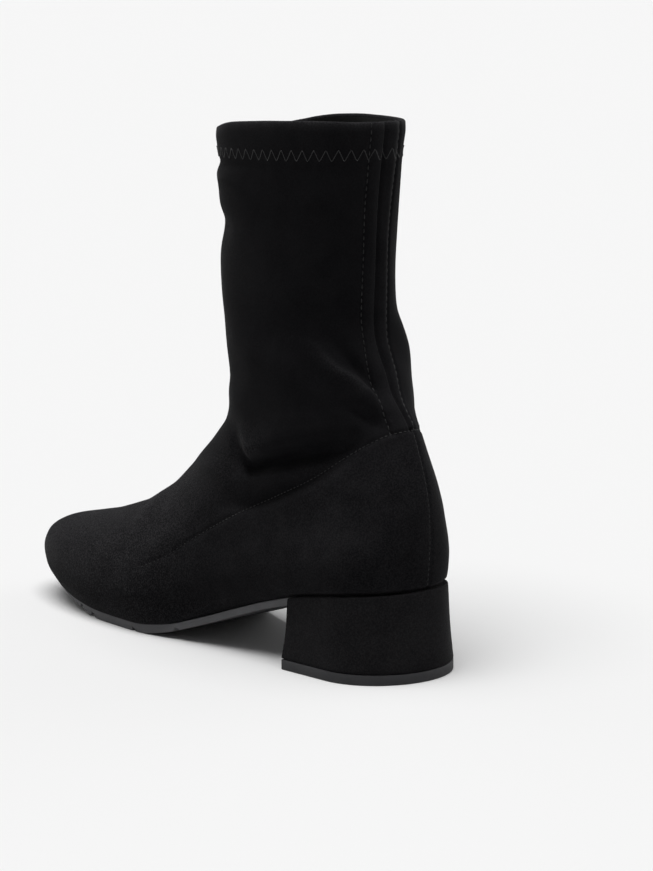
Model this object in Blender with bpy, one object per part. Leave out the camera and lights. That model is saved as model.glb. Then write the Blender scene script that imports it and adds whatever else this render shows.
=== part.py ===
"""Ankle boot for the left foot, in black stretch suede on a low covered block heel.

The toe points along -Y, the outer (lateral) side is +X and +Z is up. A point of the boot is found
by its reach, which is the distance forward of the heel back, its height above the floor, and its
distance to the lateral or medial side of the boot's middle line.
"""

import bmesh
import bpy
import numpy as np

MM = 0.001

# Driving dimensions
BOOT_LENGTH = 250 * MM
BALL_WIDTH = 79 * MM
BOOT_HEIGHT = 230 * MM
WALL = 1.8 * MM
HEM_WALL = 2.6 * MM
HEM_DEPTH = 14 * MM
LASTING_MARGIN = 10 * MM
SEAM_GAP = 0.3 * MM
TOE_SHIFT = -7 * MM
TOE_SHIFT_START = 0.3
OUTSOLE_INSET = 0.8 * MM
INSOLE_THICKNESS = 2.5 * MM
INSOLE_CLEARANCE = 1.1 * MM
INSOLE_GAP = 0.5 * MM
LIFT_THICKNESS = 4.6 * MM
GROOVE_WIDTH = 2.6 * MM
GROOVE_DEPTH = 1.4 * MM
GROOVE_SLANT = 0.15 * MM

# The tables below are drawn for a boot 250 long, 79 wide under the ball and 230 high
REACH = BOOT_LENGTH / 250
WIDTH = BALL_WIDTH / 79
HEIGHT = BOOT_HEIGHT / 230

# Counts of the facets
AROUND = 54
UPPER_RINGS = 34
SOLE_STATIONS = 28
HEEL_STATIONS = 13

# Feather line: the lower edge of the upper, as reach and height
FEATHER_ROWS = (
    ("heel_back", 0, 38.5),
    ("seat", 25, 36.0),
    ("breast", 53, 31.2),
    ("waist_back", 70, 26.2),
    ("waist", 88, 20.0),
    ("arch", 113, 11.3),
    ("ball_back", 131, 6.6),
    ("ball", 150, 4.7),
    ("ball_front", 177, 5.0),
    ("toe_back", 196, 6.3),
    ("toe", 217, 9.0),
    ("toe_tip", 249, 15.4),
)

# Tread line: the underside of the outsole, as reach and height, flat on the floor below the ball
TREAD_ROWS = (
    ("breast", 53, 27.5),
    ("waist_back", 70, 22.4),
    ("waist", 88, 16.1),
    ("arch", 113, 7.4),
    ("ball_back", 133, 2.0),
    ("flat_back", 148, 0.0),
    ("flat_front", 176, 0.0),
    ("toe_back", 195, 2.3),
    ("toe", 216, 6.0),
    ("toe_tip", 249, 13.4),
)

# Sole outline: lateral and medial half widths at a share of its length, as shares of the ball's
OUTLINE_ROWS = (
    ("heel_back", 0.00, 0.73, 0.73),
    ("heel", 0.12, 0.74, 0.73),
    ("breast", 0.22, 0.73, 0.69),
    ("waist", 0.38, 0.75, 0.63),
    ("waist_front", 0.50, 0.83, 0.75),
    ("lateral_ball", 0.62, 0.93, 0.95),
    ("medial_ball", 0.71, 0.92, 1.00),
    ("toe_root", 0.83, 0.84, 0.93),
    ("toe_tip", 1.00, 0.74, 0.78),
)
HEEL_CAP_SHARE = 0.12
TOE_CAP_START = 0.76
TOE_CAP_POWER = 2.15

# Sections of the upper, from the feather line up to the collar. Each is a closed ring that leans
# from its back point to its front point. Lateral and medial are half widths. Widest is the share of
# the ring's length where it is widest, the two powers round its ends, and sole_share says how far
# the ring still follows the outline and the feather line of the sole.
SECTION_COLUMNS = (
    "back_reach", "back_height", "front_reach", "front_height", "lateral", "medial",
    "widest", "back_power", "front_power", "sole_share",
)
SECTION_UNITS = (REACH, HEIGHT, REACH, HEIGHT, WIDTH, WIDTH, 1, 1, 1, 1)
SECTION_ROWS = (
    (0.8, 38.5, 244.5, 15.6, 39.5, 39.5, 0.62, 2.2, 2.1, 1.00),
    (0.0, 43.5, 248.8, 19.4, 41.6, 41.0, 0.62, 2.2, 2.1, 0.98),
    (-0.8, 51.0, 249.5, 24.2, 42.2, 41.4, 0.60, 2.2, 2.0, 0.92),
    (-1.2, 58.5, 247.2, 29.9, 40.8, 39.8, 0.57, 2.2, 1.95, 0.83),
    (-1.0, 65.5, 237.0, 37.2, 38.0, 37.2, 0.54, 2.2, 1.9, 0.71),
    (-0.6, 72.0, 219.0, 43.3, 35.2, 34.4, 0.50, 2.2, 1.9, 0.57),
    (0.2, 78.0, 201.0, 47.7, 32.8, 31.8, 0.47, 2.15, 1.9, 0.42),
    (1.4, 84.0, 184.0, 52.5, 31.4, 29.8, 0.45, 2.05, 1.9, 0.30),
    (3.0, 90.0, 169.0, 56.9, 30.4, 28.4, 0.44, 1.92, 1.95, 0.20),
    (5.0, 96.0, 156.0, 63.5, 29.8, 27.4, 0.43, 1.82, 2.0, 0.12),
    (7.4, 102.0, 143.5, 72.0, 29.4, 27.0, 0.43, 1.76, 2.1, 0.06),
    (10.2, 107.0, 131.5, 81.5, 29.2, 27.2, 0.44, 1.75, 2.15, 0.02),
    (13.5, 111.0, 121.0, 91.0, 29.2, 28.2, 0.45, 1.8, 2.2, 0.0),
    (17.0, 115.5, 113.6, 99.5, 29.4, 29.6, 0.46, 1.9, 2.2, 0.0),
    (20.6, 120.5, 111.4, 108.5, 29.8, 31.2, 0.47, 2.0, 2.2, 0.0),
    (24.0, 127.0, 111.8, 118.0, 30.0, 32.2, 0.48, 2.1, 2.2, 0.0),
    (27.2, 134.0, 112.8, 129.0, 29.8, 31.8, 0.49, 2.2, 2.2, 0.0),
    (29.6, 142.5, 114.2, 141.0, 29.2, 30.2, 0.50, 2.2, 2.2, 0.0),
    (30.4, 152.0, 115.2, 152.0, 28.8, 29.2, 0.50, 2.2, 2.2, 0.0),
    (30.0, 168.0, 115.8, 168.0, 28.8, 29.2, 0.50, 2.2, 2.2, 0.0),
    (29.0, 187.0, 116.6, 186.0, 29.0, 29.4, 0.50, 2.2, 2.2, 0.0),
    (27.2, 209.0, 117.4, 206.0, 29.4, 29.6, 0.50, 2.2, 2.2, 0.0),
    (25.0, 230.0, 118.0, 225.5, 29.8, 30.0, 0.50, 2.2, 2.2, 0.0),
)

# Heel block at a share of its height: back and breast reach, lateral and medial half width
HEEL_ROWS = (
    ("seat", 1.0, 0.0, 53.0, 30.2, 29.8),
    ("waist", 0.5, -0.8, 53.4, 30.8, 30.4),
    ("foot", 0.0, -2.0, 54.6, 32.2, 31.8),
)
HEEL_UNITS = (REACH, REACH, WIDTH, WIDTH)
HEEL_CAP_REACH = 29.5 * REACH

# Reaches of the grooves across the tread
GROOVE_REACHES = (124.4, 151, 183.7, 194.4)

# Colours as linear red, green and blue, with roughness
SUEDE_LOOK = ((0.006, 0.006, 0.007), 0.95)
RUBBER_LOOK = ((0.035, 0.035, 0.037), 0.6)
INSOLE_LOOK = ((0.012, 0.012, 0.013), 0.8)


def curve_through(knots, values, at):
    """A smooth curve through a table's points that never overshoots them."""
    knots = np.asarray(knots, float)
    values = np.asarray(values, float)
    widths = np.diff(knots)
    steps = np.diff(values) / widths
    slopes = np.zeros(len(knots))
    same_way = steps[:-1] * steps[1:] > 0
    near = 2 * widths[1:] + widths[:-1]
    far = widths[1:] + 2 * widths[:-1]
    safe = np.where(same_way, steps[:-1] * steps[1:], 1.0)
    mean = (near + far) * safe / (near * steps[1:] + far * steps[:-1] + (~same_way))
    slopes[1:-1] = np.where(same_way, mean, 0.0)
    slopes[0] = steps[0]
    slopes[-1] = steps[-1]
    at = np.clip(np.asarray(at, float), knots[0], knots[-1])
    index = np.clip(np.searchsorted(knots, at, side="right") - 1, 0, len(widths) - 1)
    width = widths[index]
    share = (at - knots[index]) / width
    rise = share * share * (3 - 2 * share)
    start = share * (1 - share) ** 2
    end = share * share * (share - 1)
    level = values[index] * (1 - rise) + values[index + 1] * rise
    return level + width * (start * slopes[index] + end * slopes[index + 1])


def line_height(rows, reach):
    """The height of the feather or tread line at a reach."""
    return curve_through([row[1] * REACH for row in rows], [row[2] * HEIGHT for row in rows], reach)


def round_end(share, power):
    """A round end: one at share 0, falling to nothing at share 1."""
    return np.maximum(1 - np.clip(share, 0, 1) ** power, 0) ** (1 / power)


def sole_body(share, side_column):
    """The sole's half width without its round ends, as a share of the half ball width."""
    shares = [row[1] for row in OUTLINE_ROWS]
    return curve_through(shares, [row[side_column] for row in OUTLINE_ROWS], share)


def sole_ends(share):
    """How far the round heel and the round toe draw the sole's outline in."""
    heel = round_end(1 - share / HEEL_CAP_SHARE, 2)
    toe = round_end((share - TOE_CAP_START) / (1 - TOE_CAP_START), TOE_CAP_POWER)
    return heel * toe


def section_shape(share, widest, back_power, front_power):
    """The half width of a ring that is round at both ends, one at its widest."""
    behind = round_end(1 - share / widest, back_power)
    ahead = round_end((share - widest) / (1 - widest), front_power)
    return behind * ahead


def middle_shift(share):
    """How far the boot's middle line bends to the medial side towards the toe."""
    bend = np.clip((share - TOE_SHIFT_START) / (1 - TOE_SHIFT_START), 0, 1)
    return TOE_SHIFT * bend * bend * (3 - 2 * bend)


def section_rings(count):
    """The section table, read at rings from the feather line to the collar, evenly in its rows."""
    table = np.array(SECTION_ROWS) * SECTION_UNITS
    steps = np.sqrt((np.diff(table[:, :4], axis=0) ** 2).sum(axis=1) / 2)
    knots = np.concatenate([[0], np.cumsum(steps)])
    rows = np.arange(len(table))
    at = curve_through(rows, knots, np.linspace(0, rows[-1], count))
    columns = [curve_through(knots, column, at) for column in table.T]
    return [dict(zip(SECTION_COLUMNS, ring)) for ring in zip(*columns)]


def upper_ring(section, angle):
    """Points of one ring of the upper, at angles from the heel back round the lateral side."""
    share = (1 - np.cos(angle)) / 2
    reach = section["back_reach"] + (section["front_reach"] - section["back_reach"]) * share
    chord = section["back_height"] + (section["front_height"] - section["back_height"]) * share
    heel_height = FEATHER_ROWS[0][2] * HEIGHT
    toe_height = FEATHER_ROWS[-1][2] * HEIGHT
    dip = line_height(FEATHER_ROWS, reach) - heel_height - (toe_height - heel_height) * share
    height = chord + section["sole_share"] * dip
    ring = section_shape(share, section["widest"], section["back_power"], section["front_power"])
    lateral = np.sin(angle) >= 0
    sole = np.where(lateral, sole_body(share, 2), sole_body(share, 3)) * sole_ends(share)
    shape = ring + section["sole_share"] * (sole - ring)
    width = np.where(lateral, section["lateral"], section["medial"])
    side = np.where(lateral, 1, -1) * width * shape + section["sole_share"] * middle_shift(share)
    return np.stack([side, reach, height], axis=1)


def place(points):
    """Points given as side, reach and height, in the boot's axes."""
    points = np.asarray(points, float)
    return np.stack([points[:, 0], -points[:, 1], points[:, 2]], axis=1)


def plain_material(name, look):
    colour, roughness = look
    material = bpy.data.materials.new(name)
    material.use_nodes = True
    shader = material.node_tree.nodes["Principled BSDF"]
    shader.inputs["Base Color"].default_value = (*colour, 1)
    shader.inputs["Roughness"].default_value = roughness
    shader.inputs["Metallic"].default_value = 0
    return material


def add_part(name, bm, material, root):
    """Makes a named part from a finished bmesh."""
    bmesh.ops.recalc_face_normals(bm, faces=bm.faces)
    mesh = bpy.data.meshes.new(name)
    bm.to_mesh(mesh)
    bm.free()
    mesh.materials.append(material)
    mesh.shade_smooth()
    mesh.set_sharp_from_angle(angle=0.7)
    part = bpy.data.objects.new(name, mesh)
    part.parent = root
    bpy.context.scene.collection.objects.link(part)
    return part


def bridge(bm, first, second):
    """Faces between two closed loops of the same number of vertices."""
    count = len(first)
    for index in range(count):
        after = (index + 1) % count
        bm.faces.new((first[index], first[after], second[after], second[index]))


def outline_level(lateral, medial, reach, height):
    """One level of a slab: paired lateral and medial points from its back to its front."""
    return {
        "lateral": place(np.stack([lateral, reach, height], axis=1)),
        "medial": place(np.stack([medial, reach, height], axis=1)),
    }


def slab(levels):
    """A solid between stacked levels, with strips across its lowest and highest level.
    Where a level's lateral and medial points meet at an end, they are one vertex."""
    bm = bmesh.new()
    loops = []
    pairs = []
    for level in levels:
        lateral = [bm.verts.new(point) for point in level["lateral"]]
        medial = []
        for vertex, point in zip(lateral, level["medial"]):
            joined = abs(point[0] - vertex.co.x) < 1e-7
            medial.append(vertex if joined else bm.verts.new(point))
        loop = lateral + [vertex for vertex in reversed(medial) if vertex not in lateral]
        loops.append(loop)
        pairs.append(list(zip(lateral, medial)))
    for lower, upper in zip(loops, loops[1:]):
        bridge(bm, lower, upper)
    for strip in (pairs[0], pairs[-1]):
        for (left, right), (next_left, next_right) in zip(strip, strip[1:]):
            corners = dict.fromkeys((left, next_left, next_right, right))
            bm.faces.new(tuple(corners))
    return bm


def build_upper(material, root):
    """The upper: one skin from the collar down to the feather line and in under the foot, then
    thickened inwards to the fabric's wall, with a double wall at the turned hem."""
    angle = np.linspace(0, 2 * np.pi, AROUND, endpoint=False)
    rings = [upper_ring(section, angle) for section in section_rings(UPPER_RINGS)]
    rings.insert(0, lasting_margin(rings[0]))
    bm = bmesh.new()
    loops = [[bm.verts.new(point) for point in place(ring)] for ring in rings]
    for lower, upper in zip(loops, loops[1:]):
        bridge(bm, lower, upper)
    upper = add_part("upper", bm, material, root)
    hem = upper.vertex_groups.new(name="hem")
    for vertex in upper.data.vertices:
        depth = BOOT_HEIGHT - vertex.co.z
        hem.add([vertex.index], float(depth < HEM_DEPTH), "REPLACE")
    wall = upper.modifiers.new("wall", "SOLIDIFY")
    wall.thickness = HEM_WALL
    wall.offset = -1
    wall.use_even_offset = True
    wall.vertex_group = "hem"
    wall.thickness_vertex_group = WALL / HEM_WALL
    return upper


def lasting_margin(feather):
    """The edge of the upper, turned in under the foot and following the feather line."""
    plan = feather[:, :2]
    along = np.roll(plan, -1, axis=0) - np.roll(plan, 1, axis=0)
    along /= np.linalg.norm(along, axis=1)[:, None]
    inwards = np.stack([-along[:, 1], along[:, 0]], axis=1)
    inner = plan + LASTING_MARGIN * inwards
    return np.column_stack([inner, line_height(FEATHER_ROWS, inner[:, 1])])


def sole_span(inset):
    """The reaches of the heel and toe ends of the feather outline, drawn in by an inset."""
    feather = section_rings(2)[0]
    return feather["back_reach"] + inset, feather["front_reach"] - inset


def sole_sides(reach, inset):
    """Lateral and medial edges of the feather outline at a reach, drawn in by an inset."""
    feather = section_rings(2)[0]
    back, front = sole_span(inset)
    share = np.clip((reach - back) / (front - back), 0, 1)
    lateral = feather["lateral"] * sole_body(share, 2) - inset
    medial = feather["medial"] * sole_body(share, 3) - inset
    shift = middle_shift(share)
    return lateral * sole_ends(share) + shift, -medial * sole_ends(share) + shift


def eased(start, end, count, ease_start, ease_end):
    """Numbers from start to end, closer together at the ends that are eased."""
    angle = np.linspace(0 if ease_start else np.pi / 2, np.pi if ease_end else np.pi / 2, count)
    wave = -np.cos(angle)
    return start + (end - start) * (wave - wave[0]) / (wave[-1] - wave[0])


def build_insole(material, root):
    """The insole, lying on the turned-in margin inside the wall."""
    inset = WALL + INSOLE_CLEARANCE
    reach = eased(*sole_span(inset), SOLE_STATIONS, True, True)
    lateral, medial = sole_sides(reach, inset)
    floor = line_height(FEATHER_ROWS, reach) + WALL + INSOLE_GAP
    levels = [
        outline_level(lateral, medial, reach, floor),
        outline_level(lateral, medial, reach, floor + INSOLE_THICKNESS),
    ]
    return add_part("insole", slab(levels), material, root)


def groove_lift(reach):
    """How far a groove across the tread lifts the outsole's underside."""
    lift = np.zeros_like(reach)
    for middle in GROOVE_REACHES:
        gap = np.abs(reach - middle * REACH)
        wall = (GROOVE_WIDTH / 2 + GROOVE_SLANT - gap) / GROOVE_SLANT
        lift = np.maximum(lift, GROOVE_DEPTH * np.clip(wall, 0, 1))
    return lift


def build_outsole(material, root):
    """The outsole: a thin sole from the heel breast to the toe, with grooves across its tread."""
    back = HEEL_ROWS[0][3] * REACH + SEAM_GAP
    front = sole_span(OUTSOLE_INSET)[1]
    rims = [GROOVE_WIDTH / 2, GROOVE_WIDTH / 2 + GROOVE_SLANT]
    offsets = [sign * rim for rim in rims for sign in (-1, 1)]
    grooves = np.array([middle * REACH + offset for middle in GROOVE_REACHES for offset in offsets])
    plain = eased(back, front, SOLE_STATIONS, False, True)
    clear = [reach for reach in plain if np.min(np.abs(grooves - reach)) > GROOVE_WIDTH / 2]
    reach = np.sort(np.concatenate([clear, grooves]))
    lateral, medial = sole_sides(reach, OUTSOLE_INSET)
    top = line_height(FEATHER_ROWS, reach) - SEAM_GAP
    tread = line_height(TREAD_ROWS, reach) + groove_lift(reach)
    levels = [
        outline_level(lateral, medial, reach, tread),
        outline_level(lateral, medial, reach, top),
    ]
    return add_part("outsole", slab(levels), material, root)


def heel_level(share, foot):
    """One level of the heel, a D in plan, at a share of the way from its foot to its seat."""
    shares = [row[1] for row in reversed(HEEL_ROWS)]
    columns = np.array([row[2:] for row in reversed(HEEL_ROWS)]) * HEEL_UNITS
    back, breast, lateral, medial = (curve_through(shares, column, share) for column in columns.T)
    reach = eased(back, breast, HEEL_STATIONS, True, False)
    cap = round_end(1 - (reach - back) / HEEL_CAP_REACH, 2)
    seat = line_height(FEATHER_ROWS, reach) - SEAM_GAP
    height = foot + share * (seat - foot)
    return outline_level(lateral * cap, -medial * cap, reach, height)


def build_heel_block(material, root):
    """The covered block heel, flared towards its foot, under the seat of the upper."""
    foot = LIFT_THICKNESS + SEAM_GAP
    levels = [heel_level(share, foot) for share in (0.0, 0.3, 0.65, 1.0)]
    return add_part("heel_block", slab(levels), material, root)


def build_heel_lift(material, root):
    """The rubber lift that the heel stands on."""
    levels = [heel_level(0.0, height) for height in (0.0, LIFT_THICKNESS)]
    return add_part("heel_lift", slab(levels), material, root)


def clear_scene():
    for thing in list(bpy.data.objects):
        bpy.data.objects.remove(thing)


def centre_on_floor(root):
    """Moves the boot so that the origin is on the floor, at the middle of its box."""
    bpy.context.view_layer.update()
    corners = np.array([vertex.co for part in root.children for vertex in part.data.vertices])
    middle = (corners.min(axis=0) + corners.max(axis=0)) / 2
    root.location = (-middle[0], -middle[1], 0)


def main():
    clear_scene()
    root = bpy.data.objects.new("boot", None)
    bpy.context.scene.collection.objects.link(root)
    suede = plain_material("suede", SUEDE_LOOK)
    rubber = plain_material("rubber", RUBBER_LOOK)
    lining = plain_material("insole_cover", INSOLE_LOOK)
    build_upper(suede, root)
    build_insole(lining, root)
    build_outsole(rubber, root)
    build_heel_block(suede, root)
    build_heel_lift(rubber, root)
    centre_on_floor(root)


main()
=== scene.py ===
# %% [markdown]
# # A slack black ankle boot
#
# This lesson dresses a packed boot for its portrait. The real one is a pull-on ankle boot of black
# stretch imitation suede: a soft shaft that has sunk a little at the ankle, a round toe, a thin
# rubber sole and a low block heel covered in the same cloth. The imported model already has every
# piece in its true place, so the script loads it first and works in its frame, in metres.

import math

import bmesh
import bpy
import numpy as np
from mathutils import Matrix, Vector


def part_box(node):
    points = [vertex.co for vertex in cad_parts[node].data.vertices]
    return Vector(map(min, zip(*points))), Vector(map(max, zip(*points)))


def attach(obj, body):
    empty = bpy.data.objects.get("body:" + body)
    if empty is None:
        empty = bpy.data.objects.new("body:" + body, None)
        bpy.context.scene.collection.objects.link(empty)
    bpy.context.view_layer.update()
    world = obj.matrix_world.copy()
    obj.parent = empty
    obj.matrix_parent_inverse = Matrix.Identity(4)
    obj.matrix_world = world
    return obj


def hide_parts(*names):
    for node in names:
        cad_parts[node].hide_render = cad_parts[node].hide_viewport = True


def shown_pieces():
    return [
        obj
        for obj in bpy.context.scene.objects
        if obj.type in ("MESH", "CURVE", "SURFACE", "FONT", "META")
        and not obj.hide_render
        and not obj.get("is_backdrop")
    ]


MM = 0.001
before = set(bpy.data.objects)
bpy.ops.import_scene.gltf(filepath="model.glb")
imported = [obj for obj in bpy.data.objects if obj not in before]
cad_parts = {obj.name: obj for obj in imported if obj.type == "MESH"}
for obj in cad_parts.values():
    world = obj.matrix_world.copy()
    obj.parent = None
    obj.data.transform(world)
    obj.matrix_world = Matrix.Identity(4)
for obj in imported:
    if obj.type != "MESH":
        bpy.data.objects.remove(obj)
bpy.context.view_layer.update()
scene = bpy.context.scene
print("nodes:", ", ".join(sorted(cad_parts)))

# %% [markdown]
# A shoemaker measures a boot from the back of its heel. Here a point is a side (towards the outer
# side of the foot), a reach (forward of the heel back) and a height. The heel lift is a plain D with
# known half widths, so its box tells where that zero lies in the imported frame.

# %% the boot's own axes
LIFT_LATERAL = 32.2 * MM
LIFT_BACK = 2.0 * MM
lift_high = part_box("heel_lift")[1]
MIDDLE_X = lift_high.x - LIFT_LATERAL
HEEL_Y = lift_high.y - LIFT_BACK


def place(points):
    """Points given as side, reach and height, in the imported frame."""
    points = np.asarray(points, float)
    side, reach, height = points[..., 0], points[..., 1], points[..., 2]
    return np.stack([MIDDLE_X + side, HEEL_Y - reach, height], axis=-1)


print(f"heel back at x {MIDDLE_X / MM:.1f} mm, y {HEEL_Y / MM:.1f} mm")

# %% [markdown]
# The camera stands low behind the outer side and looks a little down, through a long lens that keeps
# the boot's proportions. Its place was found by matching the outlines of the heel, sole and shaft to
# the picture, with the image taken to be 653 by 871 pixels.

# %% the camera
IMAGE_HEIGHT = 871
FOCAL_PIXELS = 3489.4
SENSOR = 36.0
VIEW_AZIMUTH = math.radians(137.094)
VIEW_PITCH = math.radians(10.162)
VIEW_DISTANCE = 1.5091
VIEW_SIDE = 0.0393
VIEW_HEIGHT = 0.3574

towards_camera = Vector((math.sin(VIEW_AZIMUTH), -math.cos(VIEW_AZIMUTH), 0))
to_the_right = Vector((math.cos(VIEW_AZIMUTH), math.sin(VIEW_AZIMUTH), 0))
looking = -towards_camera * math.cos(VIEW_PITCH) - Vector((0, 0, math.sin(VIEW_PITCH)))
camera_data = bpy.data.cameras.new("portrait_camera")
camera_data.sensor_width = SENSOR
camera_data.lens = FOCAL_PIXELS * SENSOR / IMAGE_HEIGHT
camera = bpy.data.objects.new("portrait_camera", camera_data)
camera.location = towards_camera * VIEW_DISTANCE + to_the_right * VIEW_SIDE
camera.location.z = VIEW_HEIGHT
camera.rotation_mode = "QUATERNION"
camera.rotation_quaternion = looking.to_track_quat("-Z", "Y")
scene.collection.objects.link(camera)
scene.camera = camera
print(f"lens {camera_data.lens:.1f} mm")

# %% [markdown]
# Materials, the sky and the sewing trees below are all graphs of nodes. Written out, each node needs
# a line to add it and a line for every input. Two small helpers do that in one call: an input gets
# either a plain value or a link from another node's output.

# %% helpers for nodes


def fill_inputs(tree, node, inputs):
    """Sets each named or numbered input of a node to a value, or links it from a socket."""
    for socket, value in inputs.items():
        if isinstance(value, bpy.types.NodeSocket):
            tree.links.new(value, node.inputs[socket])
        else:
            node.inputs[socket].default_value = value


def add_node(tree, kind, inputs=None, output=0, **options):
    """Adds a node, sets its options and inputs, and returns one of its outputs."""
    node = tree.nodes.new(kind)
    for name, value in options.items():
        setattr(node, name, value)
    fill_inputs(tree, node, inputs or {})
    return node.outputs[output]


print("node helpers are ready")

# %% [markdown]
# Black cloth shows its form only by what it reflects, so the light is arranged as in a product studio.
# Two tall soft panels stand behind the boot to the left and right, so that both edges of the shaft
# glow, while the camera's own side stays dark and every fold has a light and a dark slope. The panels
# are bright parts of the sky. Above hang two suns, because a sun lights evenly to the edge of the
# picture. Light linking gives one to the boot and the other to the floor, so that the black cloth and
# the white floor each get the light they need. To the camera the floor is white, but it throws light
# back as a grey table would.

# %% floor
FLOOR_HALF = 20.0
FLOOR_SEEN = (0.87, 0.87, 0.87, 1)
FLOOR_BOUNCE = (0.42, 0.42, 0.42, 1)

floor_mesh = bpy.data.meshes.new("floor")
floor_corners = [(x * FLOOR_HALF, y * FLOOR_HALF, 0) for x, y in ((-1, -1), (1, -1), (1, 1), (-1, 1))]
floor_mesh.from_pydata(floor_corners, [], [(0, 1, 2, 3)])
floor = bpy.data.objects.new("floor", floor_mesh)
scene.collection.objects.link(floor)
floor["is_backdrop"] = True
floor_paint = bpy.data.materials.new("pale_floor")
floor_paint.use_nodes = True
floor_tree = floor_paint.node_tree
floor_shade = add_node(floor_tree, "ShaderNodeMixShader", {
    0: add_node(floor_tree, "ShaderNodeLightPath", output="Is Camera Ray"),
    1: add_node(floor_tree, "ShaderNodeBsdfDiffuse", {"Color": FLOOR_BOUNCE}),
    2: add_node(floor_tree, "ShaderNodeBsdfDiffuse", {"Color": FLOOR_SEEN}),
})
fill_inputs(floor_tree, floor_tree.nodes["Material Output"], {"Surface": floor_shade})
floor_mesh.materials.append(floor_paint)
print("floor", 2 * FLOOR_HALF, "m wide")

# %% sky and lamps
SKY_SEEN = 0.93
SKY_BASE = 0.075
SKY_PANELS = (
    ((-0.8 * to_the_right - 0.6 * towards_camera).normalized(), 1.0),
    ((0.8 * to_the_right - 0.6 * towards_camera).normalized(), 0.95),
)
PANEL_FALLOFF = 5.0
WHITE = (1, 1, 1, 1)
LAMPS = (
    ("boot_lamp", 2.8, 26, 0.03 * to_the_right),
    ("floor_lamp", 2.88, 50, 0.1 * to_the_right - 0.2 * towards_camera),
)

world = bpy.data.worlds.new("studio")
scene.world = world
world.use_nodes = True
sky = world.node_tree
sky_way = add_node(sky, "ShaderNodeTexCoord", output="Generated")
sky_light = SKY_BASE
for panel_way, panel_light in SKY_PANELS:
    ways = {0: sky_way, 1: panel_way}
    towards = add_node(sky, "ShaderNodeVectorMath", ways, "Value", operation="DOT_PRODUCT")
    facing = add_node(sky, "ShaderNodeClamp", {"Value": towards})
    glow = add_node(sky, "ShaderNodeMath", {0: facing, 1: PANEL_FALLOFF}, operation="POWER")
    panel = {0: glow, 1: panel_light, 2: sky_light}
    sky_light = add_node(sky, "ShaderNodeMath", panel, operation="MULTIPLY_ADD")
sky_shade = add_node(sky, "ShaderNodeMixShader", {
    0: add_node(sky, "ShaderNodeLightPath", output="Is Camera Ray"),
    1: add_node(sky, "ShaderNodeBackground", {"Color": WHITE, "Strength": sky_light}),
    2: add_node(sky, "ShaderNodeBackground", {"Color": WHITE, "Strength": SKY_SEEN}),
})
fill_inputs(sky, sky.nodes["World Output"], {"Surface": sky_shade})

lit_by = {}
for lamp_name, strength, width, lean in LAMPS:
    lamp_data = bpy.data.lights.new(lamp_name, "SUN")
    lamp_data.energy = strength
    lamp_data.angle = math.radians(width)
    lamp = bpy.data.objects.new(lamp_name, lamp_data)
    lamp.rotation_mode = "QUATERNION"
    lamp.rotation_quaternion = (Vector((0, 0, -1)) + lean).to_track_quat("-Z", "Y")
    scene.collection.objects.link(lamp)
    lit_by[lamp_name] = bpy.data.collections.new(lamp_name + "_lights")
    lamp.light_linking.receiver_collection = lit_by[lamp_name]
lit_by["floor_lamp"].objects.link(floor)
scene.view_settings.view_transform = "Standard"
print("sky with", len(SKY_PANELS), "panels, and", len(LAMPS), "lamps")

# %% [markdown]
# The upper of a boot is drawn over a last, so its skin is a stack of closed rings that lean from a
# back point to a front point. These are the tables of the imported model, in millimetres, apart from the
# feather and tread lines, which run up to 0.8 mm higher at the arch to match the picture. They are read
# again here at many more rings, because folds and seams need finer steps than the plain solid has.

# %% tables of the last
FEATHER_ROWS = (
    ("heel_back", 0, 38.5),
    ("seat", 25, 36.0),
    ("breast", 53, 31.2),
    ("waist_back", 70, 26.5),
    ("waist", 88, 20.6),
    ("arch", 113, 12.0),
    ("ball_back", 131, 6.8),
    ("ball", 150, 4.7),
    ("ball_front", 177, 5.0),
    ("toe_back", 196, 6.3),
    ("toe", 217, 9.0),
    ("toe_tip", 249, 15.4),
)
TREAD_ROWS = (
    ("breast", 53, 27.5),
    ("waist_back", 70, 22.9),
    ("waist", 88, 16.9),
    ("arch", 113, 8.2),
    ("ball_back", 133, 2.2),
    ("flat_back", 148, 0.0),
    ("flat_front", 176, 0.0),
    ("toe_back", 195, 2.3),
    ("toe", 216, 6.0),
    ("toe_tip", 249, 13.4),
)
OUTLINE_ROWS = (
    ("heel_back", 0.00, 0.73, 0.73),
    ("heel", 0.12, 0.74, 0.73),
    ("breast", 0.22, 0.73, 0.69),
    ("waist", 0.38, 0.75, 0.63),
    ("waist_front", 0.50, 0.83, 0.75),
    ("lateral_ball", 0.62, 0.93, 0.95),
    ("medial_ball", 0.71, 0.92, 1.00),
    ("toe_root", 0.83, 0.84, 0.93),
    ("toe_tip", 1.00, 0.74, 0.78),
)
HEEL_CAP_SHARE = 0.12
TOE_CAP_START = 0.76
TOE_CAP_POWER = 2.15
TOE_SHIFT = -7 * MM
TOE_SHIFT_START = 0.3
OUTLINE_LATERAL = 2
OUTLINE_MEDIAL = 3
SECTION_COLUMNS = (
    "back_reach", "back_height", "front_reach", "front_height", "lateral", "medial",
    "widest", "back_power", "front_power", "sole_share",
)
SECTION_UNITS = (MM, MM, MM, MM, MM, MM, 1, 1, 1, 1)
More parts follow.
